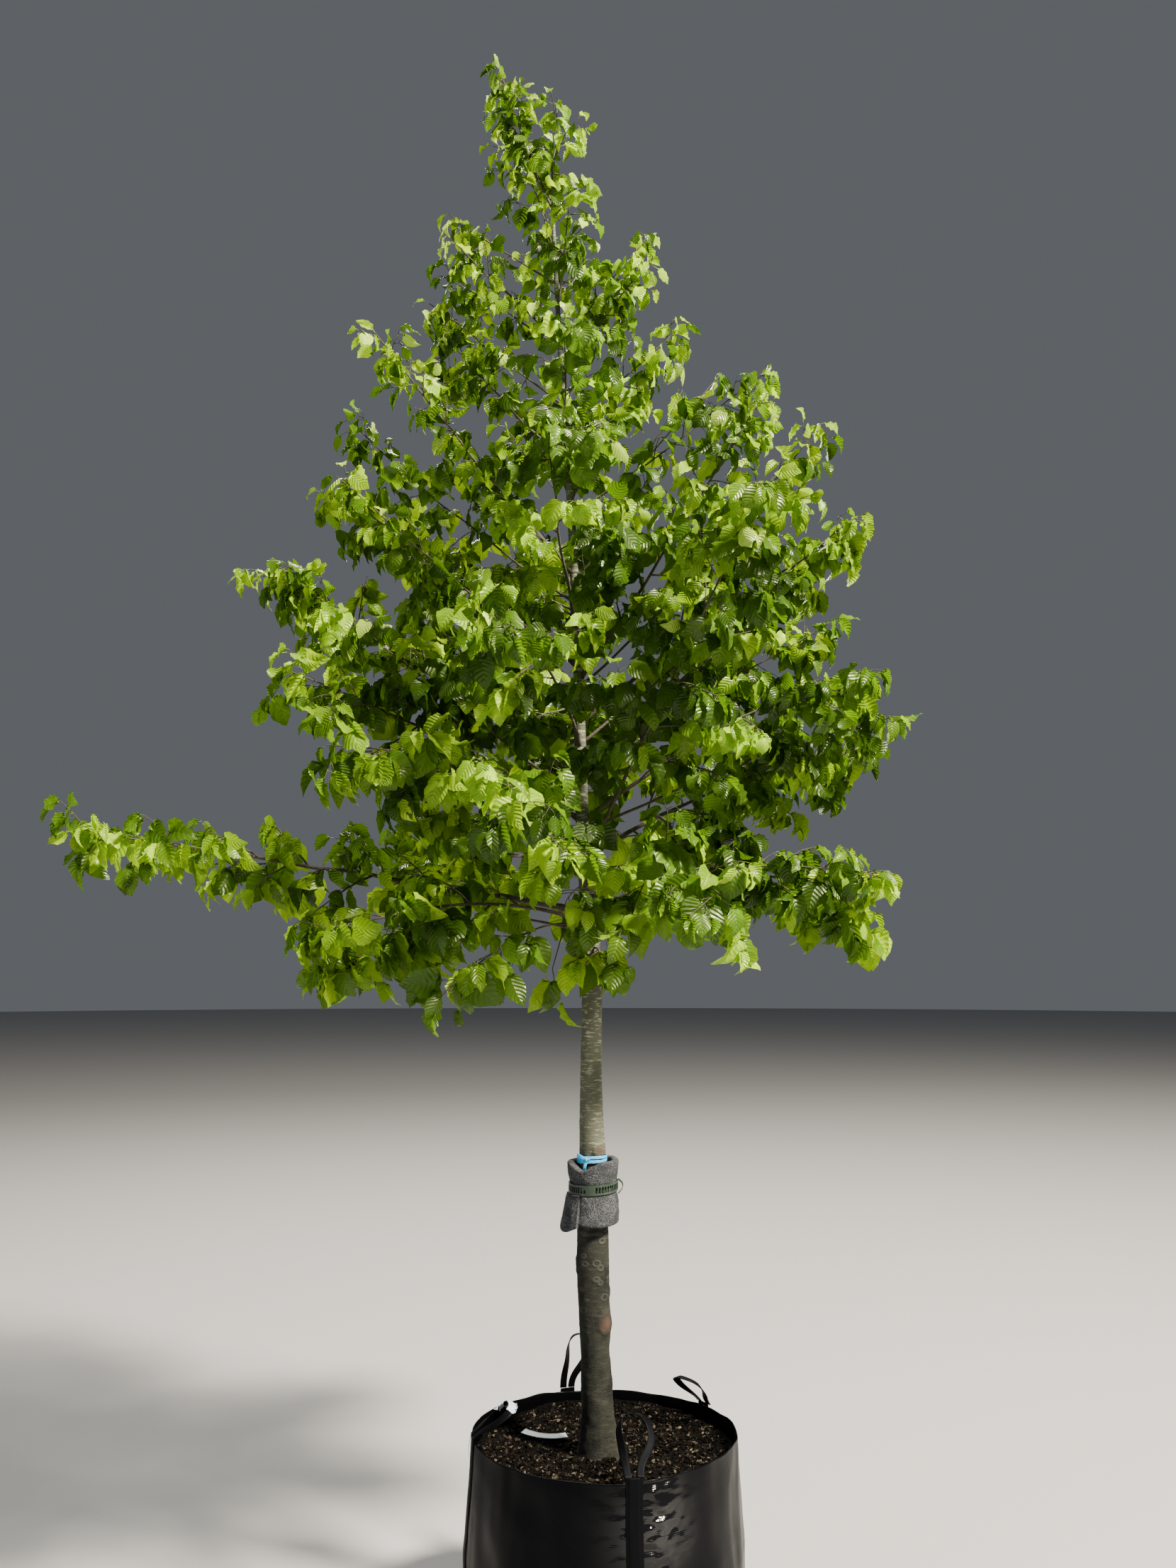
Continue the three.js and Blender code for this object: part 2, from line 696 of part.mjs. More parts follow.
for (const limb of limbs) {
  if (limb.bare === 0) continue;
  const radiusAt = (t) => limbRadius(limb, t);
  const tube = taperedTube(limb.curve, 0, limb.bare, BOUGH_RINGS, BOUGH_SIDES, radiusAt);
  const bough = mainBody(tube.subtract(trunkSpace));
  limbBodies.push(bough);
  addPiece(limb.name + "_bough", toGeometry(bough), "twig");
}

// Foliage: each mass keeps to the space that is nearer to its own stem than to any other

function pathOf(curve, from, to, count) {
  return Array.from({ length: count + 1 }, (_, i) => curve.getPoint(from + ((to - from) * i) / count));
}

const segment = new THREE.Line3();
const nearest = new THREE.Vector3();

function distanceToPath(point, path) {
  let least = Infinity;
  for (let i = 0; i < path.length - 1; i++) {
    segment.set(path[i], path[i + 1]);
    segment.closestPointToPoint(point, true, nearest);
    least = Math.min(least, nearest.distanceTo(point));
  }
  return least;
}

for (const limb of limbs) {
  limb.stemStart = limb.bare === 0 ? 0 : limb.bare + GAP / limb.length;
  limb.stemPath = pathOf(limb.curve, limb.stemStart, 1, 12);
  limb.stemBox = new THREE.Box3().setFromPoints(limb.stemPath);
  limb.boughPath = limb.bare === 0 ? [] : pathOf(limb.curve, 0, limb.bare, 5);
}

function clearOfLimbs(point) {
  const height = THREE.MathUtils.clamp(point.z, TRUNK_FOOT, TRUNK_TOP);
  const fromTrunk = point.distanceTo(trunkAxis(height));
  if (fromTrunk < along(TRUNK, height, 2) / 2 + LIMB_SPACE) return false;
  return limbs.every((limb) => {
    if (limb.boughPath.length === 0) return true;
    return distanceToPath(point, limb.boughPath) > limbRadius(limb, 0) + LIMB_SPACE;
  });
}

function hasRoom(points, own) {
  return points.every((point) => {
    const near = distanceToPath(point, own.stemPath) + SPACE;
    const taken = limbs.some(
      (limb) =>
        limb !== own &&
        limb.stemBox.distanceToPoint(point) < near &&
        distanceToPath(point, limb.stemPath) < near,
    );
    return !taken && clearOfLimbs(point);
  });
}

// A leaf of eight faces, folded along its midrib, from its root towards its tip
function leafPoints(root, ahead, face, length) {
  const side = ahead.clone().cross(face).normalize();
  const normal = side.clone().cross(ahead);
  const at = (forward, sideways, raised) =>
    root
      .clone()
      .addScaledVector(ahead, forward * length)
      .addScaledVector(side, sideways * length)
      .addScaledVector(normal, raised * length);
  const half = LEAF_WIDTH / 2;
  const thick = LEAF_THICKNESS / 2 / length;
  return [
    at(0, 0, 0),
    at(1, 0, -LEAF_FOLD),
    at(LEAF_WIDEST, half, -LEAF_FOLD),
    at(LEAF_WIDEST, -half, -LEAF_FOLD),
    at(LEAF_WIDEST, 0, thick),
    at(LEAF_WIDEST, 0, -thick),
  ];
}

function leafSolid(points) {
  const geometry = new THREE.BufferGeometry();
  const [root, tip, right, left, above, below] = [0, 1, 2, 3, 4, 5];
  geometry.setAttribute(
    "position",
    new THREE.Float32BufferAttribute(points.flatMap((p) => [p.x, p.y, p.z]), 3),
  );
  geometry.setIndex([
    ...[root, right, above, right, tip, above, tip, left, above, left, root, above],
    ...[right, root, below, tip, right, below, left, tip, below, root, left, below],
  ]);
  return toSolid(geometry);
}

// The points of a leaf that have to lie in the mass's own space
function leafTest(points) {
  const [root, tip, right, left, above] = points;
  return [
    tip,
    right,
    left,
    above,
    right.clone().lerp(tip, 0.5),
    left.clone().lerp(tip, 0.5),
    root.clone().lerp(above, 0.5),
  ];
}

// Whether a new solid keeps clear of the limbs, and of all of its mass but what it grows from
function clearOfSolids(mass, solid, host) {
  const others = mass.parts.filter((part) => part !== host);
  return (
    limbBodies.every((body) => solid.minGap(body, LIMB_SPACE) >= LIMB_SPACE) &&
    others.every((part) => solid.minGap(part, OWN_SPACE) >= OWN_SPACE)
  );
}

// A seeded factor about 1
function jitter(mass, share) {
  return 1 - share + 2 * share * mass.random();
}

// A leaf on a twig or stem. Where the first way it points has no room, others are tried
function growLeaf(mass, host, spot, ahead) {
  for (let attempt = 0; attempt < LEAF_TRIES; attempt++) {
    const length = LEAF_LENGTH * mass.limb.leafScale * jitter(mass, LEAF_JITTER);
    const turn = degrees(attempt * TRY_TURN * (attempt % 2 ? 1 : -1));
    const hanging = ahead.clone().applyAxisAngle(UP, turn);
    hanging.addScaledVector(UP, -LEAF_HANG * jitter(mass, HANG_JITTER)).normalize();
    const face = spot.clone().sub(trunkAxis(spot.z)).setZ(0).setLength(LEAF_FACES_OUT);
    face.add(new THREE.Vector3(mass.random() - 0.5, mass.random() - 0.5, 1 - LEAF_FACES_OUT));
    const root = spot.clone().addScaledVector(hanging, -LEAF_ROOT);
    const points = leafPoints(root, hanging, face, length);
    const middle = points[0].clone().lerp(points[1], 0.5);
    const crowded = mass.leaves.some((other) => other.distanceTo(middle) < LEAF_SPACING);
    if (crowded || !hasRoom(leafTest(points), mass.limb)) continue;
    const leaf = leafSolid(points);
    if (!clearOfSolids(mass, leaf, host)) continue;
    mass.leaves.push(middle);
    mass.parts.push(leaf);
    return;
  }
}

// A three-sided twig, kept only where it has room
function growTwig(mass, host, spot, ahead, length) {
  const end = spot.clone().addScaledVector(ahead, length);
  end.z -= TWIG_DROOP * length;
  const line = new THREE.LineCurve3(spot, end);
  if (!hasRoom(pathOf(line, 0.3, 1, 3), mass.limb)) return;
  const radiusAt = (t) => THREE.MathUtils.lerp(TWIG_RADIUS, TWIG_TIP_RADIUS, t);
  const twig = taperedTube(line, 0, 1, 2, 3, radiusAt);
  if (!clearOfSolids(mass, twig, host)) return;
  mass.parts.push(twig);
  mass.twigs.push({ twig, line, length });
}

// Leaves at the end and along a twig. A twig with room for none is taken off again
function leavesOnTwig(mass, { twig, line, length }) {
  const before = mass.leaves.length;
  const ahead = line.getTangent(0);
  growLeaf(mass, twig, line.getPoint(1 - END_ROOT / length), ahead);
  const count = Math.floor(length / LEAF_PITCH);
  for (let i = 1; i <= count; i++) {
    const turn = degrees(LEAF_ANGLE * (i % 2 ? 1 : -1));
    growLeaf(mass, twig, line.getPoint(1 - i / (count + 0.6)), ahead.clone().applyAxisAngle(UP, turn));
  }
  if (mass.leaves.length === before) mass.parts.splice(mass.parts.indexOf(twig), 1);
}

// Direction of a side shoot: forward along the stem and out at a turn round it
function shootDirection(ahead, turn, angle) {
  const across = Math.abs(ahead.z) > 0.95 ? new THREE.Vector3(1, 0, 0) : UP;
  const right = ahead.clone().cross(across).normalize();
  const above = right.clone().cross(ahead);
  const out = right.multiplyScalar(Math.cos(turn));
  out.addScaledVector(above, Math.sin(turn) * FLATTEN).normalize();
  const shoot = ahead.clone().multiplyScalar(Math.cos(angle));
  return shoot.addScaledVector(out, Math.sin(angle)).normalize();
}

// Stem, then twigs in a spiral along it, then leaves on the twigs and between them
function growMass(limb, seed) {
  const mass = { limb, leaves: [], twigs: [], parts: [], random: seededRandom(seed) };
  const { curve, stemStart, spread } = limb;
  const radiusAt = (t) => limbRadius(limb, t);
  const whole = taperedTube(curve, stemStart, 1, STEM_RINGS, STEM_SIDES, radiusAt);
  const stem = whole.subtract(trunkSpace);
  mass.parts.push(stem);
  const stemLength = limb.length * (1 - stemStart);
  const clear = limb.bare === 0 ? STEM_CLEAR_AT_TRUNK : STEM_CLEAR;
  const pitch = NODE_PITCH * limb.leafScale ** 1.5;
  const count = Math.max(2, Math.round((stemLength - clear) / pitch));
  const nodes = Array.from({ length: count }, (_, i) => {
    const share = (clear + ((stemLength - clear) * (i + 0.3)) / count) / stemLength;
    const t = stemStart + (1 - stemStart) * share;
    const turn = degrees(SPIRAL * i + SPIRAL_JITTER * mass.random());
    const angle = degrees(TWIG_ANGLE + TWIG_ANGLE_JITTER * (mass.random() - 0.5));
    const taper = (1 - 0.5 * share) * Math.min(1, 0.6 + share * 2);
    const length = spread * taper * (1 - TWIG_JITTER * mass.random());
    return { spot: curve.getPoint(t), ahead: curve.getTangent(t), turn, angle, length };
  });
  growLeaf(mass, stem, curve.getPoint(1 - END_ROOT / limb.length), curve.getTangent(1));
  for (const { spot, ahead, turn, angle, length } of nodes) {
    growTwig(mass, stem, spot, shootDirection(ahead, turn, angle), length);
  }
  mass.twigs.forEach((twig) => leavesOnTwig(mass, twig));
  for (const { spot, ahead, turn, angle } of nodes) {
    for (const side of STEM_LEAF_TURNS) {
      growLeaf(mass, stem, spot, shootDirection(ahead, turn + degrees(side), angle));
    }
  }
  return mainBody(wasm.Manifold.union(mass.parts));
}

function shortestEdge(solid) {
  const { vertProperties, triVerts } = solid.getMesh();
  const corners = Array.from(triVerts, (i) => new THREE.Vector3().fromArray(vertProperties, i * 3));
  const edges = corners.map((corner, i) => {
    const next = i % 3 === 2 ? i - 2 : i + 1;
    return corner.distanceTo(corners[next]);
  });
  return Math.min(...edges);
}

limbs.forEach((limb, index) => {
  let seed = index + 1;
  let whole = growMass(limb, seed);
  while (shortestEdge(whole) < FINEST) {
    seed += limbs.length;
    whole = growMass(limb, seed);
  }
  addPiece(limb.name + "_foliage", toGeometry(whole), "leaf");
});

export default tree;
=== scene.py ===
"""A young broadleaf tree in spring leaf, with its root ball in a black planting bag.

Metres and +Z up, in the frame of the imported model. The front looks towards -Y. Sizes in the
tables are in millimetres.
"""

import math

import bpy
import numpy as np
from bpy.props import FloatProperty, IntProperty, PointerProperty, StringProperty
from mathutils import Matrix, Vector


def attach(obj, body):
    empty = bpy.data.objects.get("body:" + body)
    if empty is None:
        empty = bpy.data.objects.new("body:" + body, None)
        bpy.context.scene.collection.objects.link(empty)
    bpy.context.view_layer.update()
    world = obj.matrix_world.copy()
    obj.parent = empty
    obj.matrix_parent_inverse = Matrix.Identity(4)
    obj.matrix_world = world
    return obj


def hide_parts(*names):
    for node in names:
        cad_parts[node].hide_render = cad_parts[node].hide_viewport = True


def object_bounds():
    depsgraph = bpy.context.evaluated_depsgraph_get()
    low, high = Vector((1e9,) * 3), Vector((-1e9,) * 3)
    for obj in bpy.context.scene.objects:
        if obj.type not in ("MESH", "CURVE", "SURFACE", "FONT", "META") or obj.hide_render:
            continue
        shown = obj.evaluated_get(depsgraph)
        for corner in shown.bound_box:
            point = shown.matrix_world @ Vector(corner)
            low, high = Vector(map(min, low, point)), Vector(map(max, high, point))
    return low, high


bl_info = {
    "name": "Sapling with bagged root ball",
    "version": (1, 0, 0),
    "blender": (4, 5, 0),
    "location": "3D View > Sidebar > Sapling",
    "description": "Bark, limbs, leaves, planting bag, soil and trimmings of a young tree",
    "category": "Object",
}

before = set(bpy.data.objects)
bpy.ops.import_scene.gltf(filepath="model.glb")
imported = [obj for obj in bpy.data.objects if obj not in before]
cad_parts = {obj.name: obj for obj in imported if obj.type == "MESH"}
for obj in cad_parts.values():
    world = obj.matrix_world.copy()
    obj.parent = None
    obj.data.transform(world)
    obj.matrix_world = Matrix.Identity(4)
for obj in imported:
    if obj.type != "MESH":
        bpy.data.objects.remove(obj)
SOLIDS_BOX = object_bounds()
BODY = "root"
MM = 0.001
UP = np.array((0.0, 0.0, 1.0))
# Where the photographer's eye is
EYE = np.array((-0.04, -3.13, 1.62))

# Trunk: height, sideways lean and diameter, from the soil to the fork of the leader
TRUNK = (
    (455.3, -16, 82),
    (600, -19, 75),
    (780, -24, 77),
    (960, -28, 78),
    (1185, -30, 66),
    (1400, -32, 55),
    (1680, -31, 50),
    (2060, -56, 36),
    (2450, -66, 28),
    (3000, -93, 21),
    (3446, -123, 15),
    (3880, -146, 9),
)
TRUNK_FOOT = TRUNK[0][0]
TRUNK_TOP = TRUNK[-1][0]
# How deep the mesh goes on into the soil, and where its rings get wider apart
TRUNK_SUNK = 8
CLEAR_STEM_TOP = 1700
# Root flare: heading, how far it stands out, and its height
BUTTRESSES = ((345, 25, 60), (275, 9, 40), (190, 6, 50), (150, 8, 45))
BUTTRESS_SPREAD = 28
FOOT_FLARE = 7
FLARE_HEIGHT = 26
# Old pruning scars: height, heading, how far they stand out, and their radius
KNOTS = (
    (770, 318, 5, 30),
    (1187, 304, 7, 20),
    (905, 196, 4, 24),
    (842, 338, 3, 16),
    (1512, 262, 2, 15),
)

# Limb: name, height on the trunk, heading (0 right, 90 back, 180 left, 270 front), reach,
# height of the tip, arch, half width of the foliage, and the share that is bare bough
LIMBS = (
    ("low_left", 1790, 184, 1250, 1985, 10, 160, 0.3),
    ("low_hanging_left", 1760, 206, 650, 1740, 100, 220, 0.4),
    ("low_right", 1770, 2, 670, 1840, 170, 200, 0.35),
    ("low_front_right", 1820, 305, 480, 1830, 110, 200, 0.4),
    ("low_front", 1850, 256, 560, 2000, 90, 220, 0.4),
    ("low_back_left", 1880, 135, 720, 1990, 80, 220, 0.35),
    ("low_back_right", 1840, 55, 720, 1950, 90, 220, 0.35),
    ("low_tuft", 1690, 285, 80, 1680, 20, 90, 0),
    ("middle_left", 2030, 186, 720, 2400, 60, 220, 0.33),
    ("middle_front_left", 1980, 215, 640, 2160, 100, 220, 0.35),
    ("middle_right", 2030, 355, 665, 2410, 60, 220, 0.33),
    ("middle_low_right", 1930, 22, 800, 2270, 80, 210, 0),
    ("middle_front_right", 1930, 308, 640, 2700, -60, 210, 0.33),
    ("middle_front", 2230, 252, 520, 2420, 80, 230, 0),
    ("middle_back", 2080, 95, 700, 2480, 60, 240, 0),
    ("high_far_left", 2180, 176, 800, 2700, -20, 200, 0.33),
    ("high_left", 2460, 155, 770, 3060, 10, 220, 0.33),
    ("high_left_spire", 2720, 182, 535, 3390, -40, 160, 0.3),
    ("high_right_spire", 2420, 332, 510, 3070, -50, 190, 0.33),
    ("high_right", 2300, 12, 710, 2850, 40, 220, 0.33),
    ("high_front", 2560, 262, 450, 2900, 40, 220, 0),
    ("high_back", 2560, 92, 540, 2980, 20, 230, 0),
    ("upper_left", 3040, 172, 330, 3420, 0, 190, 0),
    ("upper_right", 2940, 2, 190, 3290, 0, 180, 0),
    ("upper_front", 2980, 268, 250, 3280, 0, 180, 0),
    ("upper_back", 2980, 95, 280, 3320, 0, 180, 0),
    ("crown_left", 3420, 182, 265, 3680, 0, 118, 0),
    ("crown_right", 3330, 355, 200, 3590, 0, 118, 0),
    ("crown_front", 3480, 285, 120, 3760, 0, 118, 0),
    ("crown_back", 3520, 85, 120, 3800, 0, 118, 0),
    ("leader_right", 3880, 0, 12, 4120, 0, 118, 0),
    ("leader_left", 3840, 178, 135, 4220, -60, 118, 0),
)
# Slender limbs between the main ones: the same columns, without the bare share's bough
FINE_LIMBS = (
    ("fine_top", 3860, 176, 145, 4262, -60, 45, 0.3),
    ("fine_top_middle", 3700, 186, 120, 4080, -10, 95, 0.0),
    ("fine_top_left", 3600, 176, 275, 3800, 0, 50, 0.6),
    ("fine_top_low", 3400, 180, 300, 3600, 0, 60, 0.5),
    ("fine_top_right", 3400, 4, 225, 3720, 0, 85, 0.2),
    ("fine_upper_left", 3220, 178, 345, 3510, 0, 60, 0.35),
    ("fine_high_left", 2640, 178, 610, 3150, -40, 85, 0.5),
    ("fine_left", 2400, 184, 630, 2950, -20, 80, 0.6),
    ("fine_spire", 2900, 352, 500, 3250, -40, 60, 0.6),
    ("fine_high_right", 2400, 350, 630, 3060, -50, 100, 0.5),
    ("fine_right", 2240, 8, 760, 2900, -10, 75, 0.6),
    ("fine_mid_right", 2150, 0, 650, 2560, 20, 90, 0.6),
    ("fine_far_right", 2000, 2, 800, 2310, 40, 85, 0.65),
    ("fine_far_left", 2080, 182, 790, 2700, 0, 75, 0.7),
    ("fine_inner_left", 2120, 172, 430, 2620, 0, 110, 0.3),
    ("fine_inner_right", 2700, 350, 190, 2960, 0, 110, 0.1),
    ("fine_low_left", 1910, 184, 400, 2040, 60, 90, 0.4),
    ("fine_low_right", 1790, 348, 700, 1880, 130, 95, 0.45),
    ("fine_hanging_left", 1730, 200, 640, 1650, 140, 95, 0.6),
    ("fine_hanging_front", 1740, 232, 500, 1610, 120, 90, 0.55),
    ("fine_inner_front", 1830, 270, 150, 1800, 40, 110, 0.0),
    ("fine_inner_back", 1850, 110, 170, 1830, 40, 110, 0.0),
    ("fine_crown_right", 3140, 2, 290, 3430, 0, 75, 0.35),
)
# Clusters of large leaves that hang by the stem: place in metres, count and size
TUFTS = (
    ((0.012, -0.05, 1.69), 8, 1.0),
    ((-0.13, -0.12, 1.635), 6, 1.0),
    ((-0.118, -0.12, 1.575), 1, 0.85),
    ((0.225, -0.06, 3.235), 4, 1.25),
    ((0.335, -0.06, 3.285), 3, 1.1),
)
# Bare twigs that those clusters hang from, in metres
HANGING_TWIGS = (
    ((-0.05, -0.04, 1.83), (-0.1, -0.09, 1.75), (-0.13, -0.12, 1.64), (-0.118, -0.12, 1.57)),
    ((-0.03, -0.02, 1.78), (0.0, -0.045, 1.74), (0.012, -0.05, 1.69)),
    ((0.1, -0.03, 3.02), (0.18, -0.05, 3.15), (0.225, -0.06, 3.24)),
    ((0.1, -0.03, 3.02), (0.24, -0.05, 3.18), (0.335, -0.06, 3.29)),
)
# Limbs whose twigs are shorter, where the sky shows between them
SHORTER = {
    "low_left": 0.85,
    "low_hanging_left": 0.55,
    "middle_left": 0.85,
    "high_left": 0.9,
    "high_left_spire": 0.6,
    "high_right_spire": 0.62,
    "high_far_left": 0.7,
    "high_right": 0.8,
    "upper_right": 0.4,
    "upper_left": 0.85,
    "upper_front": 0.85,
    "upper_back": 0.85,
    "crown_left": 0.75,
}
BEND = 0.05
LIMB_BASE = 6.5
LIMB_GROWTH = 0.0105
FOLIAGE_NODES = [row[0] + "_foliage" for row in LIMBS]
BOUGH_NODES = [row[0] + "_bough" for row in LIMBS if row[7] > 0]

# Planting bag: outer radius at each height, from the foot to above the rim
BAG_PROFILE = ((0, 316), (14, 326), (130, 340), (270, 343), (400, 335), (560, 324))
RIM_HEIGHT = 514
RIM_TILT = 9
RIM_WAVE = 4
FOLD_DEPTH = 4.5
FOLD_FADE = 1000
SOIL_TOP = 455
SOIL_FLAT_RADIUS = 245
SOIL_EDGE_RISE = 14
SOIL_BACK_RISE = 10
SOIL_HEAP = 8

# Lifting loops: name, heading round the rim, height, width, lean inwards, skew sideways
HANDLES = (
    ("handle_front", 281, 165, 92, 55, 22),
    ("handle_back", 107, 150, 74, 6, -26),
    ("handle_left", 193, 128, 84, 52, 14),
    ("handle_right", 36, 96, 112, 40, 10),
)
BAND_WIDTH = 40
BAND_FOOT = 24
BAND_ABOVE_RIM = 8
WEBBING = 2.5
STRAP_WIDTH = 19
# How far each loop's strap turns on its edge, in radians, going up and coming down
STRAP_TURN = ((0.5, 1.35), (1.25, 1.35), (0.9, 1.2), (1.1, 0.7))

COLLAR_X = -27
COLLAR_FOOT = 1004
COLLAR_TOP = 1157
COLLAR_RADIUS = 64
BELT_LOW = 1084
BELT_HIGH = 1106
RIBBON_LOW = 1157


# Vectors, curves and repeatable noise


def unit(vectors):
    """Vectors scaled to length one."""
    return vectors / np.maximum(np.linalg.norm(vectors, axis=-1, keepdims=True), 1e-9)


def heading_vector(heading):
    """The level direction at a heading in degrees."""
    turned = np.radians(heading)
    return np.stack((np.cos(turned), np.sin(turned), np.zeros_like(turned)), axis=-1)


def turn_between(a, b):
    """Smallest turn between two headings, in degrees."""
    return np.abs((np.asarray(a, float) - b + 540) % 360 - 180)


def ring_points(headings, radius, height):
    """Points in metres at headings round the middle, from millimetres out and up."""
    spot = heading_vector(headings) * np.asarray(radius)[..., None] * MM
    spot[..., 2] = np.asarray(height) * MM
    return spot


def hump(away, width):
    """A soft hump: 1 where a distance is 0, and falling off over a width."""
    return np.exp(-((away / width) ** 2))


def part_way(value, start, span):
    """From 0 to 1: how far a value has come along a span, which may run downwards."""
    return np.clip((value - start) / span, 0, 1)


def along(rows, position, column):
    """A smooth curve through rows whose first number is the position along it."""
    table = np.asarray(rows, float)
    x, y = table[:, 0], table[:, column]
    slopes = np.empty_like(y)
    slopes[1:-1] = (y[2:] - y[:-2]) / (x[2:] - x[:-2])
    slopes[0] = (y[1] - y[0]) / (x[1] - x[0])
    slopes[-1] = (y[-1] - y[-2]) / (x[-1] - x[-2])
    i = np.clip(np.searchsorted(x, position, side="right") - 1, 0, len(x) - 2)
    span = x[i + 1] - x[i]
    t = np.clip((position - x[i]) / span, 0, 1)
    ease = t * t * (3 - 2 * t)
    bow = (t - 2 * t * t + t**3) * span * slopes[i] + (t**3 - t * t) * span * slopes[i + 1]
    return y[i] + (y[i + 1] - y[i]) * ease + bow


def noise(points, size, seed):
    """Smooth repeatable noise from -1 to 1, with features of about the given size."""
    cells = points / size
    low = np.floor(cells).astype(np.int64)
    part = cells - low
    part = part * part * (3 - 2 * part)
    total = np.zeros(points.shape[:-1])
    for corner in np.ndindex(2, 2, 2):
        cell = low + corner
        mixed = cell @ np.array((73856093, 19349663, 83492791)) + seed * 2654435761
        mixed = (mixed ^ (mixed >> 13)) * 1274126177 & 0x7FFFFFFF
        mixed ^= mixed >> 16
        weight = np.prod(np.where(corner, part, 1 - part), axis=-1)
        total += weight * ((mixed & 0xFFFF) / 32767.5 - 1)
    return total


# Meshes


def grid_faces(rows, columns, closed):
    """The four-cornered faces of a grid of points, joined end to end where it is closed."""
    last = columns if closed else columns - 1
    r, c = np.meshgrid(np.arange(rows - 1), np.arange(last), indexing="ij")
    a = (r * columns + c).ravel()
    b = (r * columns + (c + 1) % columns).ravel()
    return np.stack((a, b, b + columns, a + columns), axis=1)


def fan(ring, tip, outward=True):
    """Triangles from a closed ring of points to one point, with their last corner doubled."""
    here, after = ring, np.roll(ring, -1)
    pair = (here, after) if outward else (after, here)
    return np.stack((*pair, np.full_like(ring, tip), np.full_like(ring, tip)), axis=1)


def add_piece(name, points, faces, material, attributes=None, smooth=True):
    """A mesh piece from arrays of points and of four-cornered faces.

    A face whose last corner is doubled becomes a triangle.
    """
    points = np.asarray(points, float).reshape(-1, 3)
    three = faces[:, 2] == faces[:, 3]
    counts = np.repeat((4, 3), (np.sum(~three), np.sum(three)))
    corners = np.concatenate((faces[~three].ravel(), faces[three][:, :3].ravel()))
    mesh = bpy.data.meshes.new(name)
    mesh.vertices.add(len(points))
    mesh.vertices.foreach_set("co", points.astype(np.float32).ravel())
    mesh.loops.add(len(corners))
    mesh.loops.foreach_set("vertex_index", corners.astype(np.int32))
    mesh.polygons.add(len(counts))
    starts = np.concatenate(([0], np.cumsum(counts)[:-1]))
    mesh.polygons.foreach_set("loop_start", starts.astype(np.int32))
    mesh.polygons.foreach_set("use_smooth", np.full(len(counts), smooth))
    for label, values in (attributes or {}).items():
        layer = mesh.attributes.new(label, "FLOAT_VECTOR", "POINT")
        layer.data.foreach_set("vector", np.asarray(values, np.float32).ravel())
    mesh.update(calc_edges=True)
    mesh.validate()
    mesh.materials.append(material)
    piece = bpy.data.objects.new(name, mesh)
    bpy.context.scene.collection.objects.link(piece)
    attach(piece, BODY)
    return piece


def merge(parts):
    """One set of points, faces and, where the parts have them, attribute rows from several."""
    blocks = [np.asarray(part[0], float).reshape(-1, 3) for part in parts]
    bases = np.cumsum([0] + [len(block) for block in blocks])
    faces = [np.asarray(part[1]) + base for part, base in zip(parts, bases)]
    extra = [np.asarray(part[2], float).reshape(-1, 3) for part in parts if len(part) > 2]
    return np.concatenate(blocks), np.concatenate(faces), extra and np.concatenate(extra)


def tube(path, radii, sides):
    """Points and faces of a tube with pointed ends."""
    path = np.asarray(path, float)
    ahead = unit(np.gradient(path, axis=0))
    guide = np.array((1.0, 0, 0)) if abs(unit(path[-1] - path[0])[2]) > 0.9 else UP
    right = unit(np.cross(ahead, guide))
    above = np.cross(right, ahead)
    turn = -2 * np.pi * np.arange(sides) / sides
    spokes = right[:, None] * np.cos(turn)[:, None] + above[:, None] * np.sin(turn)[:, None]
    rings = path[:, None] + spokes * np.asarray(radii)[:, None, None]
    points = np.concatenate((rings.reshape(-1, 3), (path[0], path[-1])))
    j = np.arange(sides)
    first = len(path) * sides
    ends = (fan(j, first, False), fan(first - sides + j, first + 1))
    return points, np.concatenate((grid_faces(len(path), sides, True), *ends))


# Materials


def linear(code):
    """An sRGB hex colour as a linear one with full alpha."""
    parts = [int(code[i : i + 2], 16) / 255 for i in (1, 3, 5)]
    curve = [p / 12.92 if p <= 0.04045 else ((p + 0.055) / 1.055) ** 2.4 for p in parts]
    return (*curve, 1.0)


def add(tree, kind, sockets=None, **settings):
    """Adds one shader node, with its settings, and its sockets set or linked."""
    made = tree.nodes.new("ShaderNode" + kind)
    for name, value in settings.items():
        setattr(made, name, value)
    for name, value in (sockets or {}).items():
        if isinstance(value, bpy.types.NodeSocket):
            tree.links.new(value, made.inputs[name])
        else:
            made.inputs[name].default_value = value
    return made


def start_material(name):
    """An empty material and its node tree."""
    material = bpy.data.materials.new(name)
    material.use_nodes = True
    material.node_tree.nodes.clear()
    return material, material.node_tree


def finish_material(material, shader):
    """Leads a shader to the material's output."""
    add(material.node_tree, "OutputMaterial", {"Surface": shader})
    return material


def opaque(tree, colour, roughness, refraction, normal, more=None):
    """A surface that no light comes through, with any further sockets."""
    sockets = {
        "Base Color": colour,
        "Roughness": roughness,
        "IOR": refraction,
        "Normal": normal,
    }
    return add(tree, "BsdfPrincipled", sockets | (more or {})).outputs[0]


def calc(tree, operation, *values):
    """A number worked out from others."""
    return add(tree, "Math", dict(enumerate(values)), operation=operation).outputs[0]


def times(tree, first, second):
    """The product of two numbers."""
    return calc(tree, "MULTIPLY", first, second)


def ramp(tree, value, start, end, first=0.0, last=1.0, kind="LINEAR"):
    """A value carried over from one span to another, and held at its ends."""
    spans = {"Value": value, "From Min": start, "From Max": end, "To Min": first, "To Max": last}
    return add(tree, "MapRange", spans, interpolation_type=kind).outputs["Result"]


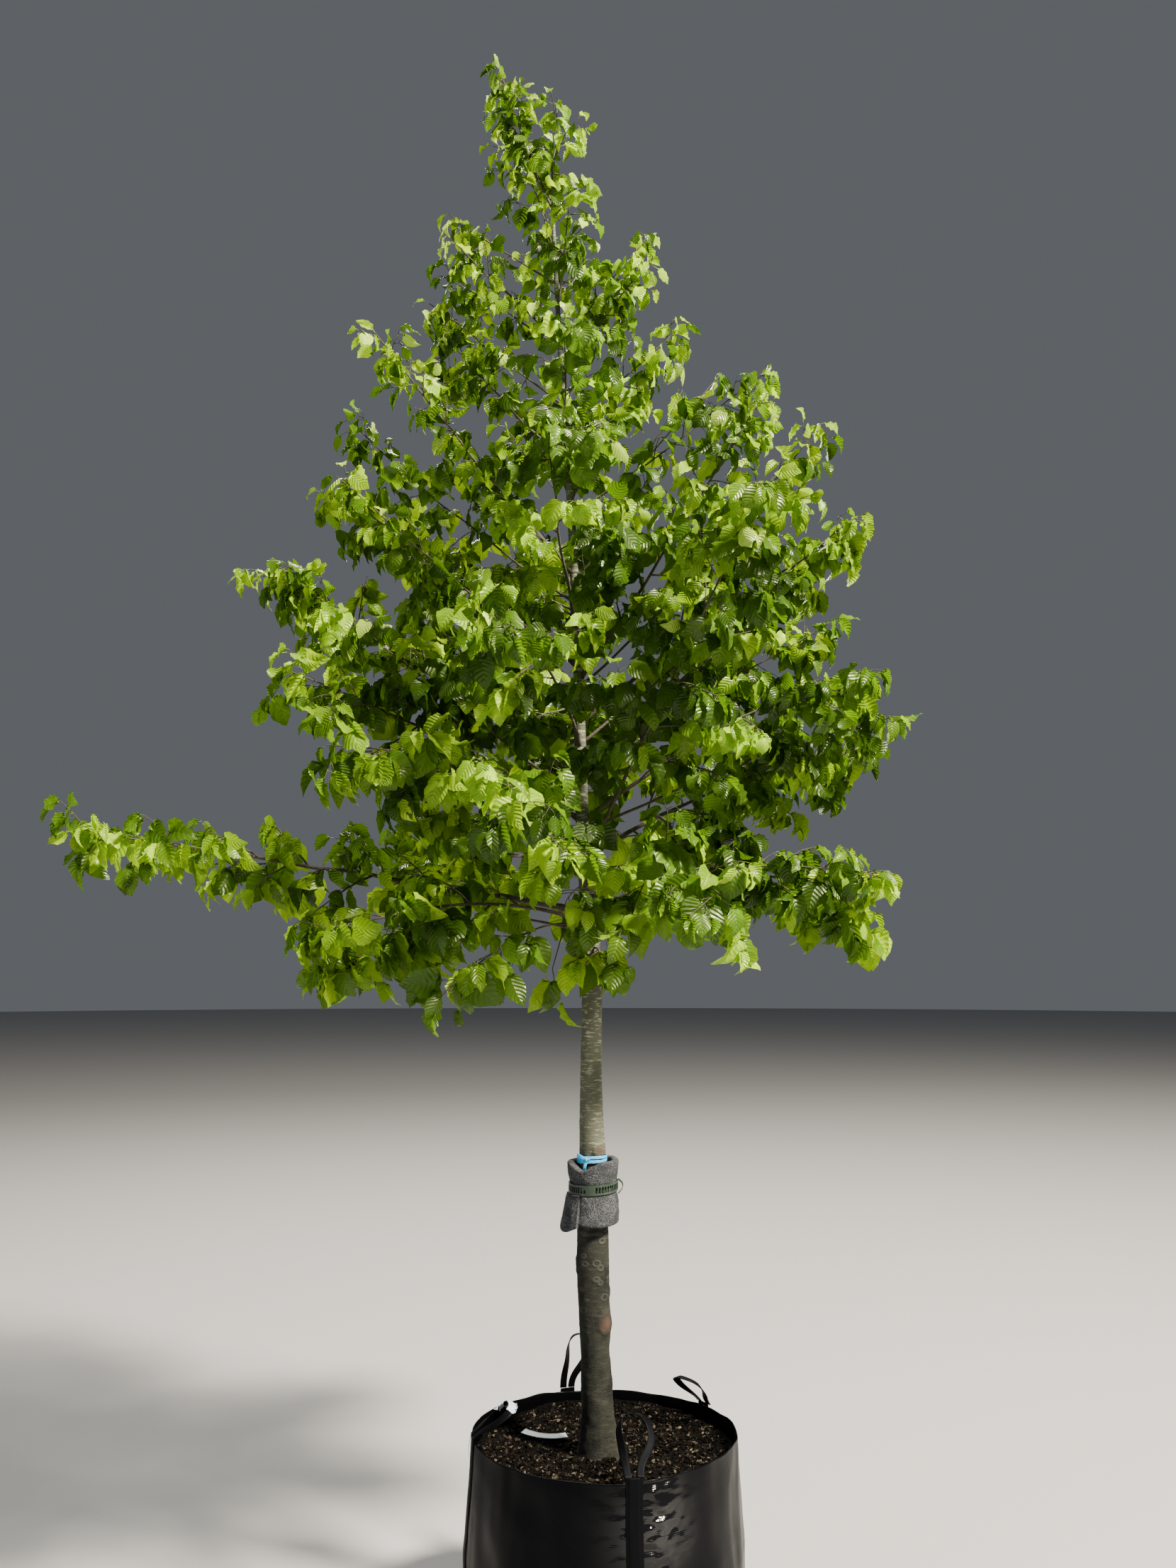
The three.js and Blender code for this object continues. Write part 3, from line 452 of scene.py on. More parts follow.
def attribute(tree, name):
    """The three numbers that a mesh attribute holds at each point."""
    held = add(tree, "Attribute", attribute_name=name).outputs["Vector"]
    return add(tree, "SeparateXYZ", {0: held}).outputs


def stretched(tree, size_mm, flatten=(1, 1, 1)):
    """Object coordinates in units of a real size, drawn out along chosen axes."""
    place = add(tree, "TexCoord").outputs["Object"]
    scale = [f / (size_mm * MM) for f in flatten]
    return add(tree, "Mapping", {"Vector": place, "Scale": scale}).outputs["Vector"]


def grain_of(tree, vector, detail, roughness=0.5):
    """Noise with features of one unit."""
    sockets = {"Vector": vector, "Scale": 1.0, "Detail": detail, "Roughness": roughness}
    return add(tree, "TexNoise", sockets).outputs["Fac"]


def patches(tree, vector, low, high, detail=3.0, roughness=0.55):
    """Soft patches from 0 to 1, cut from noise between two levels."""
    grain = grain_of(tree, vector, detail, roughness)
    return ramp(tree, grain, low, high, kind="SMOOTHSTEP")


def blend_colours(tree, share, first, second):
    """One colour going over to another by a share."""
    mix = add(tree, "Mix", {0: share, 6: first, 7: second}, data_type="RGBA")
    return mix.outputs[2]


def bump(tree, height, distance, strength, normal=None):
    """The direction of a surface whose relief has a depth in metres."""
    sockets = {"Height": height, "Distance": distance, "Strength": strength}
    if normal is not None:
        sockets["Normal"] = normal
    return add(tree, "Bump", sockets).outputs["Normal"]


# Heights in metres between which the bark changes, and the callus of old pruning scars. Over the
# second pair the bark turns paler upwards: painted sunlight on the upper trunk.
STREAKS_RISE = (0.95, 1.6)
PAINTED_LIGHT_ABOVE = (1.0, 1.25)
LICHEN_TOP = (1.05, 0.98)
LICHEN_FOOT = (0.7, 0.84)
SCAR = "#4E3A30"


def mottled_bark(name, tones, streak_mm, bump_mm, paler):
    """Bark: smooth grey living bark with level lenticel streaks and rings of lichen.

    Matt, with soft darker clouds, pale streaks that are wider than high and show most above
    the collar, lichen rings below it, and a fine grain that catches side light. It is paler
    high up, which is painted sunlight; the last argument sets how much. Old pruning scars
    are redder. Its tones are the bark, the clouds, the streaks and the lichen.
    """
    base, dark, streak, lichen = (linear(tone) for tone in tones)
    material, tree = start_material(name)
    place = add(tree, "TexCoord").outputs["Object"]
    height = add(tree, "SeparateXYZ", {0: place}).outputs[2]
    upper = ramp(tree, height, *STREAKS_RISE, 0.03, 0.95)
    # Paler from about 1 m upwards: painted sunlight on the upper trunk and on the limbs.
    young = ramp(tree, height, *PAINTED_LIGHT_ABOVE, 0.0, paler)
    lower = times(tree, ramp(tree, height, *LICHEN_TOP), ramp(tree, height, *LICHEN_FOOT))
    cloud_size = stretched(tree, streak_mm * 2.2, (1, 1, 0.8))
    clouds = patches(tree, cloud_size, 0.42, 0.6, 5.0, 0.65)
    streaks = patches(tree, stretched(tree, streak_mm, (1, 1, 5.2)), 0.53, 0.62, 4.0, 0.6)
    fine = patches(tree, stretched(tree, streak_mm * 0.4, (0.7, 0.7, 3)), 0.5, 0.7)
    grain = patches(tree, stretched(tree, streak_mm * 0.1), 0.3, 0.7, 4.0)
    cell_size = stretched(tree, streak_mm * 1.5, (1, 1, 1.3))
    cells = add(tree, "TexVoronoi", {"Vector": cell_size, "Scale": 1.0}).outputs["Distance"]
    from_ring = calc(tree, "ABSOLUTE", calc(tree, "SUBTRACT", cells, 0.24))
    rings = times(tree, ramp(tree, from_ring, 0.1, 0.02, kind="SMOOTHSTEP"), lower)
    streaks = times(tree, streaks, upper)
    colour = base
    for share, tone in (
        (clouds, dark),
        (young, streak),
        (streaks, streak),
        (times(tree, rings, 0.3), lichen),
        (attribute(tree, "scar")[0], linear(SCAR)),
        (times(tree, grain, 0.25), dark),
    ):
        colour = blend_colours(tree, share, colour, tone)
    relief = calc(tree, "ADD", streaks, times(tree, fine, upper))
    relief = calc(tree, "ADD", relief, rings)
    relief = calc(tree, "MULTIPLY_ADD", grain, 0.5, relief)
    normal = bump(tree, relief, bump_mm * MM, 0.8)
    matt = {"Specular IOR Level": 0.3}
    return finish_material(material, opaque(tree, colour, 0.84, 1.45, normal, matt))


def leaf_blade(name, base, young, vein, glow, translucency):
    """Leaf: thin living blade, pleated along its side veins, with a soft waxy gloss.

    Light comes through it yellow green, the veins show paler, and no two leaves have
    quite the same green.
    """
    material, tree = start_material(name)
    side, forward, luck = attribute(tree, "blade")
    across = calc(tree, "ABSOLUTE", side)
    sweep = calc(tree, "MULTIPLY_ADD", across, -0.26, forward)
    pleats = calc(tree, "PINGPONG", times(tree, sweep, VEIN_PAIRS), 0.5)
    side_veins = ramp(tree, pleats, 0.07, 0.0, kind="SMOOTHSTEP")
    midrib = ramp(tree, across, 0.07, 0.02, kind="SMOOTHSTEP")
    veins = times(tree, calc(tree, "MAXIMUM", side_veins, midrib), 0.3)
    mottle = times(tree, patches(tree, stretched(tree, 16), 0.3, 0.7, 4.0), luck)
    colour = blend_colours(tree, mottle, linear(base), linear(young))
    value = ramp(tree, luck, 0, 1, 0.54, 1.34)
    colour = add(tree, "HueSaturation", {"Color": colour, "Value": value}).outputs["Color"]
    colour = blend_colours(tree, veins, colour, linear(vein))
    normal = bump(tree, pleats, 0.004, 0.65)
    wax = {"Specular IOR Level": 0.39, "Specular Tint": linear("#F6FFDC")}
    surface = opaque(tree, colour, 0.33, 1.45, normal, wax)
    through = blend_colours(tree, veins, linear(glow), linear(base))
    lit = add(tree, "BsdfTranslucent", {"Color": through, "Normal": normal}).outputs[0]
    both = add(tree, "MixShader", {0: translucency, 1: surface, 2: lit}).outputs[0]
    return finish_material(material, both)


def woven_plastic(name, base, dust, thread_mm, roughness, gloss):
    """Polypropylene tape: woven flat and laminated, so it has a low slick sheen.

    The weave is drawn about twice as coarse as it is, or it would not show. Where the
    cloth is pulled into small creases, its film shines through the dust.
    """
    material, tree = start_material(name)
    round_bag, down, pulled = attribute(tree, "cloth")
    threads = [times(tree, way, 1 / (thread_mm * MM)) for way in (round_bag, down)]
    weave = calc(tree, "ADD", *(calc(tree, "PINGPONG", thread, 0.5) for thread in threads))
    folds = patches(tree, stretched(tree, 130, (1, 1, 0.5)), 0.3, 0.7, 1.0)
    creases = times(tree, grain_of(tree, stretched(tree, 62, (1, 1, 1.9)), 1.0), pulled)
    dirt = times(tree, patches(tree, stretched(tree, 90), 0.5, 0.8, 6.0, 0.7), 0.35)
    colour = blend_colours(tree, dirt, linear(base), linear(dust))
    dull = ramp(tree, dirt, 0, 1, roughness, roughness + 0.3)
    normal = bump(tree, weave, thread_mm * MM * 0.25, 0.25)
    normal = bump(tree, folds, 0.012, 0.6, normal)
    film = {
        "Specular IOR Level": gloss,
        "Specular Tint": linear("#D3DEEC"),
        "Coat Weight": times(tree, pulled, 0.9),
        "Coat Roughness": 0.14,
        "Coat IOR": 1.5,
        "Coat Normal": bump(tree, creases, 0.06, 0.9, normal),
    }
    return finish_material(material, opaque(tree, colour, dull, 1.49, normal, film))


def potting_soil(name, base, chip, pale):
    """Potting soil: moist peat with bark chips and grit, so dark and crumbly, with brown crumbs.

    Its pale specks are grit, and in part painted sun glints.
    """
    material, tree = start_material(name)
    browner, paler, _ = attribute(tree, "crumb")
    crumbs = patches(tree, stretched(tree, 9), 0.5, 0.68, 5.0, 0.7)
    # Pale specks: grit, and in part painted sun glints.
    grit_and_glint_specks = calc(tree, "MAXIMUM", patches(tree, stretched(tree, 5), 0.69, 0.73, 2.0), paler)
    colour = linear(base)
    for share, tone in ((crumbs, chip), (browner, chip), (grit_and_glint_specks, pale)):
        colour = blend_colours(tree, share, colour, linear(tone))
    normal = bump(tree, crumbs, 0.004, 1.0)
    damp = {"Specular IOR Level": 0.05}
    return finish_material(material, opaque(tree, colour, 0.85, 1.4, normal, damp))


def foam(name, base, light, dark):
    """Polyethylene foam sheet: closed cells cut at its face, so matt, furry and speckled."""
    material, tree = start_material(name)
    cells = patches(tree, stretched(tree, 3.2), 0.35, 0.65, 3.0, 0.7)
    worn = patches(tree, stretched(tree, 26), 0.4, 0.66, 4.0)
    colour = blend_colours(tree, cells, linear(dark), linear(light))
    colour = blend_colours(tree, worn, colour, linear(base))
    normal = bump(tree, cells, 0.0016, 0.9)
    furry = {"Specular IOR Level": 0.2}
    return finish_material(material, opaque(tree, colour, 0.93, 1.45, normal, furry))


def soft_plastic(name, base, worn, roughness, streak_mm):
    """Thin moulded or drawn plastic: even colour, a dull shine and faint stress marks."""
    material, tree = start_material(name)
    marks = patches(tree, stretched(tree, streak_mm), 0.45, 0.7, 4.0)
    colour = blend_colours(tree, marks, linear(base), linear(worn))
    normal = bump(tree, marks, 0.0008, 0.4)
    return finish_material(material, opaque(tree, colour, roughness, 1.5, normal))


# Trunk


def trunk_axis(height):
    """The middle of the trunk at a height in millimetres, in metres."""
    height = np.asarray(height, float)
    lean = along(TRUNK, height, 1)
    return np.stack((lean, np.zeros_like(lean), height), axis=-1) * MM


def round_trunk(height, heading, radius):
    """Points in metres round the trunk, at a radius in millimetres."""
    return trunk_axis(height) + heading_vector(heading) * radius[..., None] * MM


def trunk_radius(height, heading):
    """Radius of the trunk in millimetres, with its root flare and scars."""
    radius = along(TRUNK, height, 2) / 2
    for side, size, tall in BUTTRESSES:
        turn = turn_between(heading, side) / BUTTRESS_SPREAD
        radius = radius + size * np.exp(-turn * turn - (height - TRUNK_FOOT) / tall)
    radius = radius + FOOT_FLARE * np.exp(-(height - TRUNK_FOOT) / FLARE_HEIGHT)
    for level, side, size, wide in KNOTS:
        across = np.radians(turn_between(heading, side)) * radius
        away = np.sqrt((height - level) ** 2 + across**2) / wide
        radius = radius + size * (hump(away, 1) + 0.35 * hump(away - 0.75, 0.16))
    return radius


def bark_relief(points, height):
    """How far the bark stands out, in millimetres: swellings, level wrinkles and flakes."""
    aged = np.clip((2400 - height) / 1900, 0.12, 1)
    old = part_way(height, 1000, -300)
    swell = noise(points, 0.07, 11) * (2.0 + 1.6 * old) * aged
    level = points * np.array((1, 1, 6))
    wrinkles = np.clip(noise(level, 0.045, 12) + 0.1, -0.2, 1) * 0.8 * aged * (1 - 0.6 * old)
    lenticels = np.clip(noise(points * np.array((1, 1, 3.6)), 0.02, 13) - 0.3, 0, 1) * 1.1
    flakes = np.clip(noise(points, 0.026, 14) * 4, -0.5, 0.5) * 0.9 * old
    return swell + wrinkles + lenticels * aged + flakes


class TrunkSettings(bpy.types.PropertyGroup):
    sides: IntProperty(
        name="Points round", description="Points round the trunk's mesh", default=72, min=24
    )
    step: FloatProperty(
        name="Ring spacing",
        description="Height between the mesh's rings on the clear stem",
        default=0.0042,
        unit="LENGTH",
    )
    # The bark's dark tone is in part painted shade on the lower trunk.
    bark: StringProperty(name="Bark", description="sRGB hex of the bark", default="#1E2019")
    lichen: StringProperty(
        name="Lichen", description="sRGB hex of the lichen flakes", default="#4C4F47"
    )


class SAPLING_OT_trunk(bpy.types.Operator):
    """Makes the trunk with its bark relief, root flare and pruning scars"""

    bl_idname = "sapling.trunk"
    bl_label = "Trunk"

    def scars(self, level, turn):
        """How red the bark is at each point: only at the two freshest scars."""
        share = np.zeros(level.size + 2)
        for height, side, _, wide in KNOTS[:2]:
            across = np.radians(turn_between(turn, side)) * along(TRUNK, level, 2) / 2
            away = ((level - height) ** 2 + across**2) / (wide * 0.55) ** 2
            share[:-2] += 0.75 * np.exp(-away.ravel())
        return np.repeat(share[:, None], 3, axis=1)

    def execute(self, context):
        settings = context.scene.sapling_trunk
        fine = settings.step / MM
        heights = np.concatenate(
            (
                np.arange(TRUNK_FOOT - TRUNK_SUNK, CLEAR_STEM_TOP, fine),
                np.arange(CLEAR_STEM_TOP, TRUNK_TOP, fine * 2.4),
                (TRUNK_TOP,),
            )
        )
        headings = np.arange(settings.sides) * 360 / settings.sides
        level, turn = np.meshgrid(heights, headings, indexing="ij")
        radius = trunk_radius(level, turn)
        radius = radius + bark_relief(round_trunk(level, turn, radius), level)
        rings = round_trunk(level, turn, radius).reshape(-1, 3)
        count = len(rings)
        points = np.concatenate((rings, trunk_axis([heights[0], heights[-1]])))
        j = np.arange(settings.sides)
        faces = np.concatenate(
            (
                grid_faces(len(heights), settings.sides, True),
                fan(j, count, False),
                fan(count - settings.sides + j, count + 1),
            )
        )
        tones = (settings.bark, "#0B0C09", "#989C84", settings.lichen)
        # The last number is how much paler the bark turns high up: painted sunlight.
        bark = mottled_bark("living_bark", tones, 26, 1.2, 0.27)
        scars = {"scar": self.scars(level, turn)}
        trunk = add_piece("trunk_bark", points, faces, bark, scars)
        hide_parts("trunk")
        return {"FINISHED"}


# Limbs, twigs and leaves

STEM_POINTS = 26
TWIG_ANGLE = 52
SPIRAL = 137.5
SPIRAL_JITTER = 40
FLATTEN = 0.62
VEIN_PAIRS = 8.0
# Gaps that the sky shows through: their size, how many, and how far a leaf hangs down
GAP_SIZE = 0.085
GAP_LEVEL = -0.5
LEAF_DROP = 0.045
# How clear of the trunk, and of the edge of the solids, a leaf springs, in metres
TRUNK_MARGIN = 0.03
REACH_MARGIN = 0.02
# Foliage that is narrower than this, in millimetres, has shorter and closer twigs
NARROW = 120
# What narrow and wide foliage adds to a stem's tip and to a twig, in metres
TIP_SHOOT = (0.06, 0.09)
TWIG_EXTRA = (0.05, 0.1)
# Length in metres at a stem's tip that bears no twigs
STEM_END = 0.02
# Radii in metres, and the sides that each tube has
STEM_TIP = 0.0013
THICKEST_TWIG = 0.0032
TWIG_TIP = 0.0009
SHOOT_RADII = (0.0013, 0.0007)
HANGING_RADII = (0.0024, 0.0008)
LIMB_SIDES = 12
TWIG_SIDES = 4
SHOOT_SIDES = 3
HANGING_SIDES = 5
# A side shoot's least and greatest length, and a leaf stalk's radius from foot to blade
SHOOT_REACH = (0.02, 0.13)
STALK = (0.0007, 0.0006)
# How many leaves differ from their spray's green, and how many tips up high are young
STRAYS = 0.25
YOUNG_TIPS = 0.36
# Share of a leaf's light that comes through it
TRANSLUCENCY = 0.34

# Leaf outline: place along the blade, and half width as a share of the length
BLADE = (
    (0, 0),
    (0.06, 0.17),
    (0.18, 0.3),
    (0.33, 0.375),
    (0.48, 0.385),
    (0.63, 0.33),
    (0.78, 0.215),
    (0.9, 0.09),
    (1, 0),
)
ACROSS = np.array((-1, -0.52, 0, 0.52, 1.0))

# Leaf colours dealt out by spray: blade, young tint, veins, light that comes through
LEAF_KINDS = (
    ("fresh", "#4B6A08", "#688C10", "#8CA842", "#98C604"),
    ("bright", "#6E960E", "#96B526", "#AEC658", "#BCE60A"),
    ("grown", "#324D06", "#48680B", "#63812F", "#70A004"),
    ("deep", "#243B05", "#33500A", "#4E6C1F", "#588403"),
    ("young", "#93B23A", "#B4CE62", "#C4D48E", "#B6DE42"),
)
YOUNG = len(LEAF_KINDS) - 1


def limb_points(row, index):
    """The middle line of a limb, from the trunk's axis to where its shoot ends."""
    _, height, heading, reach, tip_height, arch, _, _ = row
    start = trunk_axis(height)
    tip = start + heading_vector(heading) * reach * MM
    tip[2] = tip_height * MM
    middle = start + (tip - start) * 0.45
    side = 1 if index % 2 else -1
    middle = middle + heading_vector(heading + 90) * side * BEND * reach * MM
    middle[2] += arch * MM
    t = np.linspace(0, 1, STEM_POINTS)[:, None]
    return (1 - t) ** 2 * start + 2 * t * (1 - t) * middle + t * t * tip


def crown_rise(height):
    """From 0 to 1: how far up the crown a height in metres is."""
    return part_way(height, 1.6, 2.6)


def walk(path, distance):
    """The point and direction at a distance along a path."""
    steps = np.linalg.norm(np.diff(path, axis=0), axis=1)
    reached = np.concatenate(([0], np.cumsum(steps)))
    i = int(np.clip(np.searchsorted(reached, distance, side="right") - 1, 0, len(steps) - 1))
    share = (distance - reached[i]) / steps[i]
    return path[i] + (path[i + 1] - path[i]) * share, (path[i + 1] - path[i]) / steps[i]


def path_length(path):
    """Length of a path through points."""
    return float(np.linalg.norm(np.diff(path, axis=0), axis=1).sum())


def grow(start, ahead, length, droop, wander, steps, chance):
    """A shoot's middle line, wandering a little and sagging towards its end."""
    points = [start]
    for _ in range(steps):
        ahead = unit(ahead + chance.normal(0, wander, 3) - UP * droop / steps)
        points.append(points[-1] + ahead * length / steps)
    return np.array(points)


def shoot_direction(ahead, turn, angle):
    """Forward along the stem and out at a turn round it."""
    guide = np.array((1.0, 0, 0)) if abs(ahead[2]) > 0.95 else UP
    right = unit(np.cross(ahead, guide))
    above = np.cross(right, ahead)
    out = unit(right * math.cos(turn) + above * math.sin(turn) * FLATTEN)
    return unit(ahead * math.cos(angle) + out * math.sin(angle))


class CrownSettings(bpy.types.PropertyGroup):
    leaf_low: FloatProperty(
        name="Lowest leaves",
        description="Length of a leaf blade on the lowest limbs",
        default=0.098,
        unit="LENGTH",
    )
    leaf_top: FloatProperty(
        name="Topmost leaves",
        description="Length of a leaf blade at the top of the crown",
        default=0.06,
        unit="LENGTH",
    )
    leaf_pitch: FloatProperty(
        name="Leaf spacing",
        description="Distance along a shoot from one leaf to the next",
        default=0.0225,
        unit="LENGTH",
    )
    twig_pitch: FloatProperty(
        name="Twig spacing",
        description="Distance along a limb from one twig to the next",
        default=0.043,
        unit="LENGTH",
    )
    shoot_pitch: FloatProperty(
        name="Shoot spacing",
        description="Distance along a twig from one side shoot to the next",
        default=0.034,
        unit="LENGTH",
    )
    hang: FloatProperty(
        name="Hang", description="How strongly the leaves hang down", default=1.2, min=0
    )
    seed: IntProperty(name="Seed", description="Seed of the growth", default=5)
    twig_bark: StringProperty(
        name="Twig bark", description="sRGB hex of the limbs' bark", default="#3B362E"
    )


class Crown:
    """Tubes of wood and the places of leaves, gathered while the limbs grow."""

    def __init__(self, settings):
        self.settings = settings
        self.chance = np.random.default_rng(settings.seed)
        self.limbs = []
        self.twigs = []
        self.leaves = []

    def leafy(self, path, first, kind, outer):
        """Leaves in two rows along a shoot, smaller and younger towards its end."""
        chance, pitch = self.chance, self.settings.leaf_pitch
        length = path_length(path)
        spot = first + pitch * chance.random()
        side = 1 if chance.random() < 0.5 else -1
        while spot < length - 0.004:
            point, ahead = walk(path, spot)
            age = min(1.0, 0.72 + 0.28 * (length - spot) / 0.05)
            hue = int(chance.integers(0, YOUNG)) if chance.random() < STRAYS else kind
            self.leaves.append((point, ahead, side, age, hue))
            side = -side
            spot += pitch * (0.75 + 0.5 * chance.random())
        point, ahead = walk(path, length)
        rise = part_way(point[2], 2.2, 2)
        hue = YOUNG if chance.random() < YOUNG_TIPS * outer * rise else kind
        self.leaves.append((point, ahead, 0, 0.6 + 0.22 * chance.random(), hue))

    def deal_kind(self, height, outer):
        """Which green a spray has: brighter outside, deeper inside and high up. The deeper
        greens inside are partly the leaves' age and partly painted shade, those high up are
        painted shade, and the brighter greens outside are painted sunlight.
        """
        # Painted shade: more of the deep green inside the crown and high up, besides the older
        # leaves' own deeper green.
        deep = 0.3 * (1.25 - outer) + 0.34 * crown_rise(height)
        # Painted sunlight: more of the bright green towards the outside.
        weights = np.array((0.25, 0.11 + 0.21 * outer, 0.37, deep))
        return int(self.chance.choice(len(weights), p=weights / weights.sum()))

    def tuft(self, place, count, size):
        """A cluster of leaves that hang round the end of a short shoot."""
        place = np.array(place)
        for i in range(count):
            turn = i * SPIRAL + 30 * self.chance.random()
            way = heading_vector(turn) * (0.35 + 0.3 * self.chance.random())
            start = place + way * 0.02 + UP * 0.02 * (self.chance.random() - 0.5)
            self.leaves.append((start, unit(way - UP), 0, size, i % 3))

    def grow_limb(self, row, index):
        """One limb: its bough and stem, then twigs in a spiral, side shoots, and leaves."""
        chance, settings = self.chance, self.settings
        name, _, _, reach, _, _, spread, bare = row
        spread = spread * SHORTER.get(name, 1)
        fine = name.startswith("fine")
        core = limb_points(row, index)
        end_ahead = unit(core[-1] - core[-2])
        narrow = spread < NARROW
        wide = int(not narrow)
        shoot = grow(core[-1], end_ahead, TIP_SHOOT[wide], 0.1, 0.06, 4, chance)
        stem = np.concatenate((core, shoot[1:]))
        length = path_length(stem)
        along_stem = np.linspace(0, 1, len(stem))
        sway = np.sin(along_stem * np.pi)[:, None] * 0.006
        wander = np.stack([noise(stem, 0.11, 31 + k) for k in range(3)], axis=1)
        stem = stem + wander * sway
        base = (LIMB_BASE + LIMB_GROWTH * reach) / 2 * MM * (0.6 if fine else 1)
        radii = base + (STEM_TIP - base) * along_stem**0.8
        radii = radii * (1 + 0.7 * np.exp(-along_stem * length / 0.02))
        self.limbs.append(tube(stem, radii, LIMB_SIDES))
        first = bare * length * 0.62 + (0.05 if bare == 0 else 0)
        pitch = settings.twig_pitch * (0.8 if narrow else 1)
        twiggy = length - first - STEM_END
        count = max(2, int(twiggy / pitch))
        for i in range(count):
            share = (i + 0.3 + 0.4 * chance.random()) / count
            distance = first + twiggy * share
            point, ahead = walk(stem, distance)
            turn = math.radians(SPIRAL * i + SPIRAL_JITTER * chance.random())
            angle = math.radians(TWIG_ANGLE + 16 * (chance.random() - 0.5))
            taper = (1 - 0.5 * share) * min(1, 0.55 + share * 2.2)
            size = (spread * MM + TWIG_EXTRA[wide]) * taper
            size *= 0.65 + 0.35 * chance.random()
            direction = shoot_direction(ahead, turn, angle)
            stem_radius = float(np.interp(distance / length, along_stem, radii))
            self.grow_twig(point, direction, size, min(stem_radius * 0.7, THICKEST_TWIG), share)
        kind = self.deal_kind(stem[-1][2], 1)
        self.leafy(stem[-8:], 0.02, kind, 1)

    def grow_twig(self, point, direction, size, radius, outer):
        """A twig with side shoots in two rows, and leaves on them all."""
        chance, settings = self.chance, self.settings
        path = grow(point, direction, size, 0.3, 0.09, 5, chance)
        self.twigs.append(tube(path, np.linspace(radius, TWIG_TIP, len(path)), TWIG_SIDES))
        kind = self.deal_kind(point[2], outer)
        self.leafy(path, size * 0.22, kind, outer)
        spot = size * 0.2 + settings.shoot_pitch * chance.random()
        side = 1 if chance.random() < 0.5 else -1
        while spot < size * 0.92:
            start, ahead = walk(path, spot)
            right = unit(np.cross(ahead, UP))
            lift = 0.35 * (chance.random() - 0.4)
            way = unit(ahead * 0.75 + right * side * 0.75 + UP * lift)
            reach = (size * 0.42) * (1.15 - spot / size) * (0.6 + 0.6 * chance.random())
            reach = min(max(reach, SHOOT_REACH[0]), SHOOT_REACH[1])
            shoot = grow(start, way, reach, 0.35, 0.1, 3, chance)
            radii = np.linspace(*SHOOT_RADII, len(shoot))
            self.twigs.append(tube(shoot, radii, SHOOT_SIDES))
            self.leafy(shoot, 0.012, kind, outer)
            side = -side
            spot += settings.shoot_pitch * (0.7 + 0.6 * chance.random())


def leaf_frames(spots, settings, chance):
    """Where each leaf springs from, its length, and the ways across, along and off its blade."""
    point, ahead = (np.array([spot[i] for spot in spots]) for i in (0, 1))
    side, size = (np.array([spot[i] for spot in spots], float) for i in (2, 3))
    side = side[:, None]
    n = len(spots)
    length = settings.leaf_low + (settings.leaf_top - settings.leaf_low) * crown_rise(point[:, 2])
    length = length * size * (0.8 + 0.38 * chance.random(n))
    right = unit(np.cross(ahead, UP) + chance.normal(0, 0.05, (n, 3)))
    hang = settings.hang * (0.35 + 1.3 * chance.random((n, 1)))
    forward = 0.35 + 0.5 * chance.random((n, 1))
    forward = np.where(side == 0, 1.0, forward)
    axis = unit(ahead * forward + right * side - UP * hang + chance.normal(0, 0.16, (n, 3)))
    middle = np.stack((along(TRUNK, point[:, 2] / MM, 1) * MM, np.zeros(n)), axis=1)
    outward = np.zeros((n, 3))
    outward[:, :2] = point[:, :2] - middle
    face = unit(outward) * 0.7 + UP * 0.75 + chance.normal(0, 0.5, (n, 3))
    across = unit(np.cross(axis, face))
    return point, length, across, axis, np.cross(across, axis)


def blade_grid():
    """Of each point of a blade: its share across and along, half width, and wave up or down.

    The first two points are the blade's foot and tip, and the others lie in rows between them.
    """
    rows = len(BLADE) - 2
    stations, widths = np.array(BLADE).T
    beats = np.arange(rows) % 2 * 2 - 1
    t, w, beat = (np.repeat(row, len(ACROSS)) for row in (stations[1:-1], widths[1:-1], beats))
    s, w, beat = (np.concatenate(([0, 0], row)) for row in (np.tile(ACROSS, rows), w, beat))
    return s, np.concatenate(([0, 1], t)), w, beat


def leaf_faces():
    """Faces of one leaf and its stalk, whose points follow the blade's."""
    k = len(ACROSS)
    rows = len(BLADE) - 2
    c = np.arange(k - 1)
    last = 2 + (rows - 1) * k
    foot = np.stack((2 + c, 3 + c, np.zeros_like(c), np.zeros_like(c)), axis=1)
    tip = np.stack((last + c, last + c + 1, np.ones_like(c), np.ones_like(c)), axis=1)
    stalk = grid_faces(2, 3, True) + 2 + rows * k
    return np.concatenate((grid_faces(rows, k, False) + 2, stalk, foot, tip))


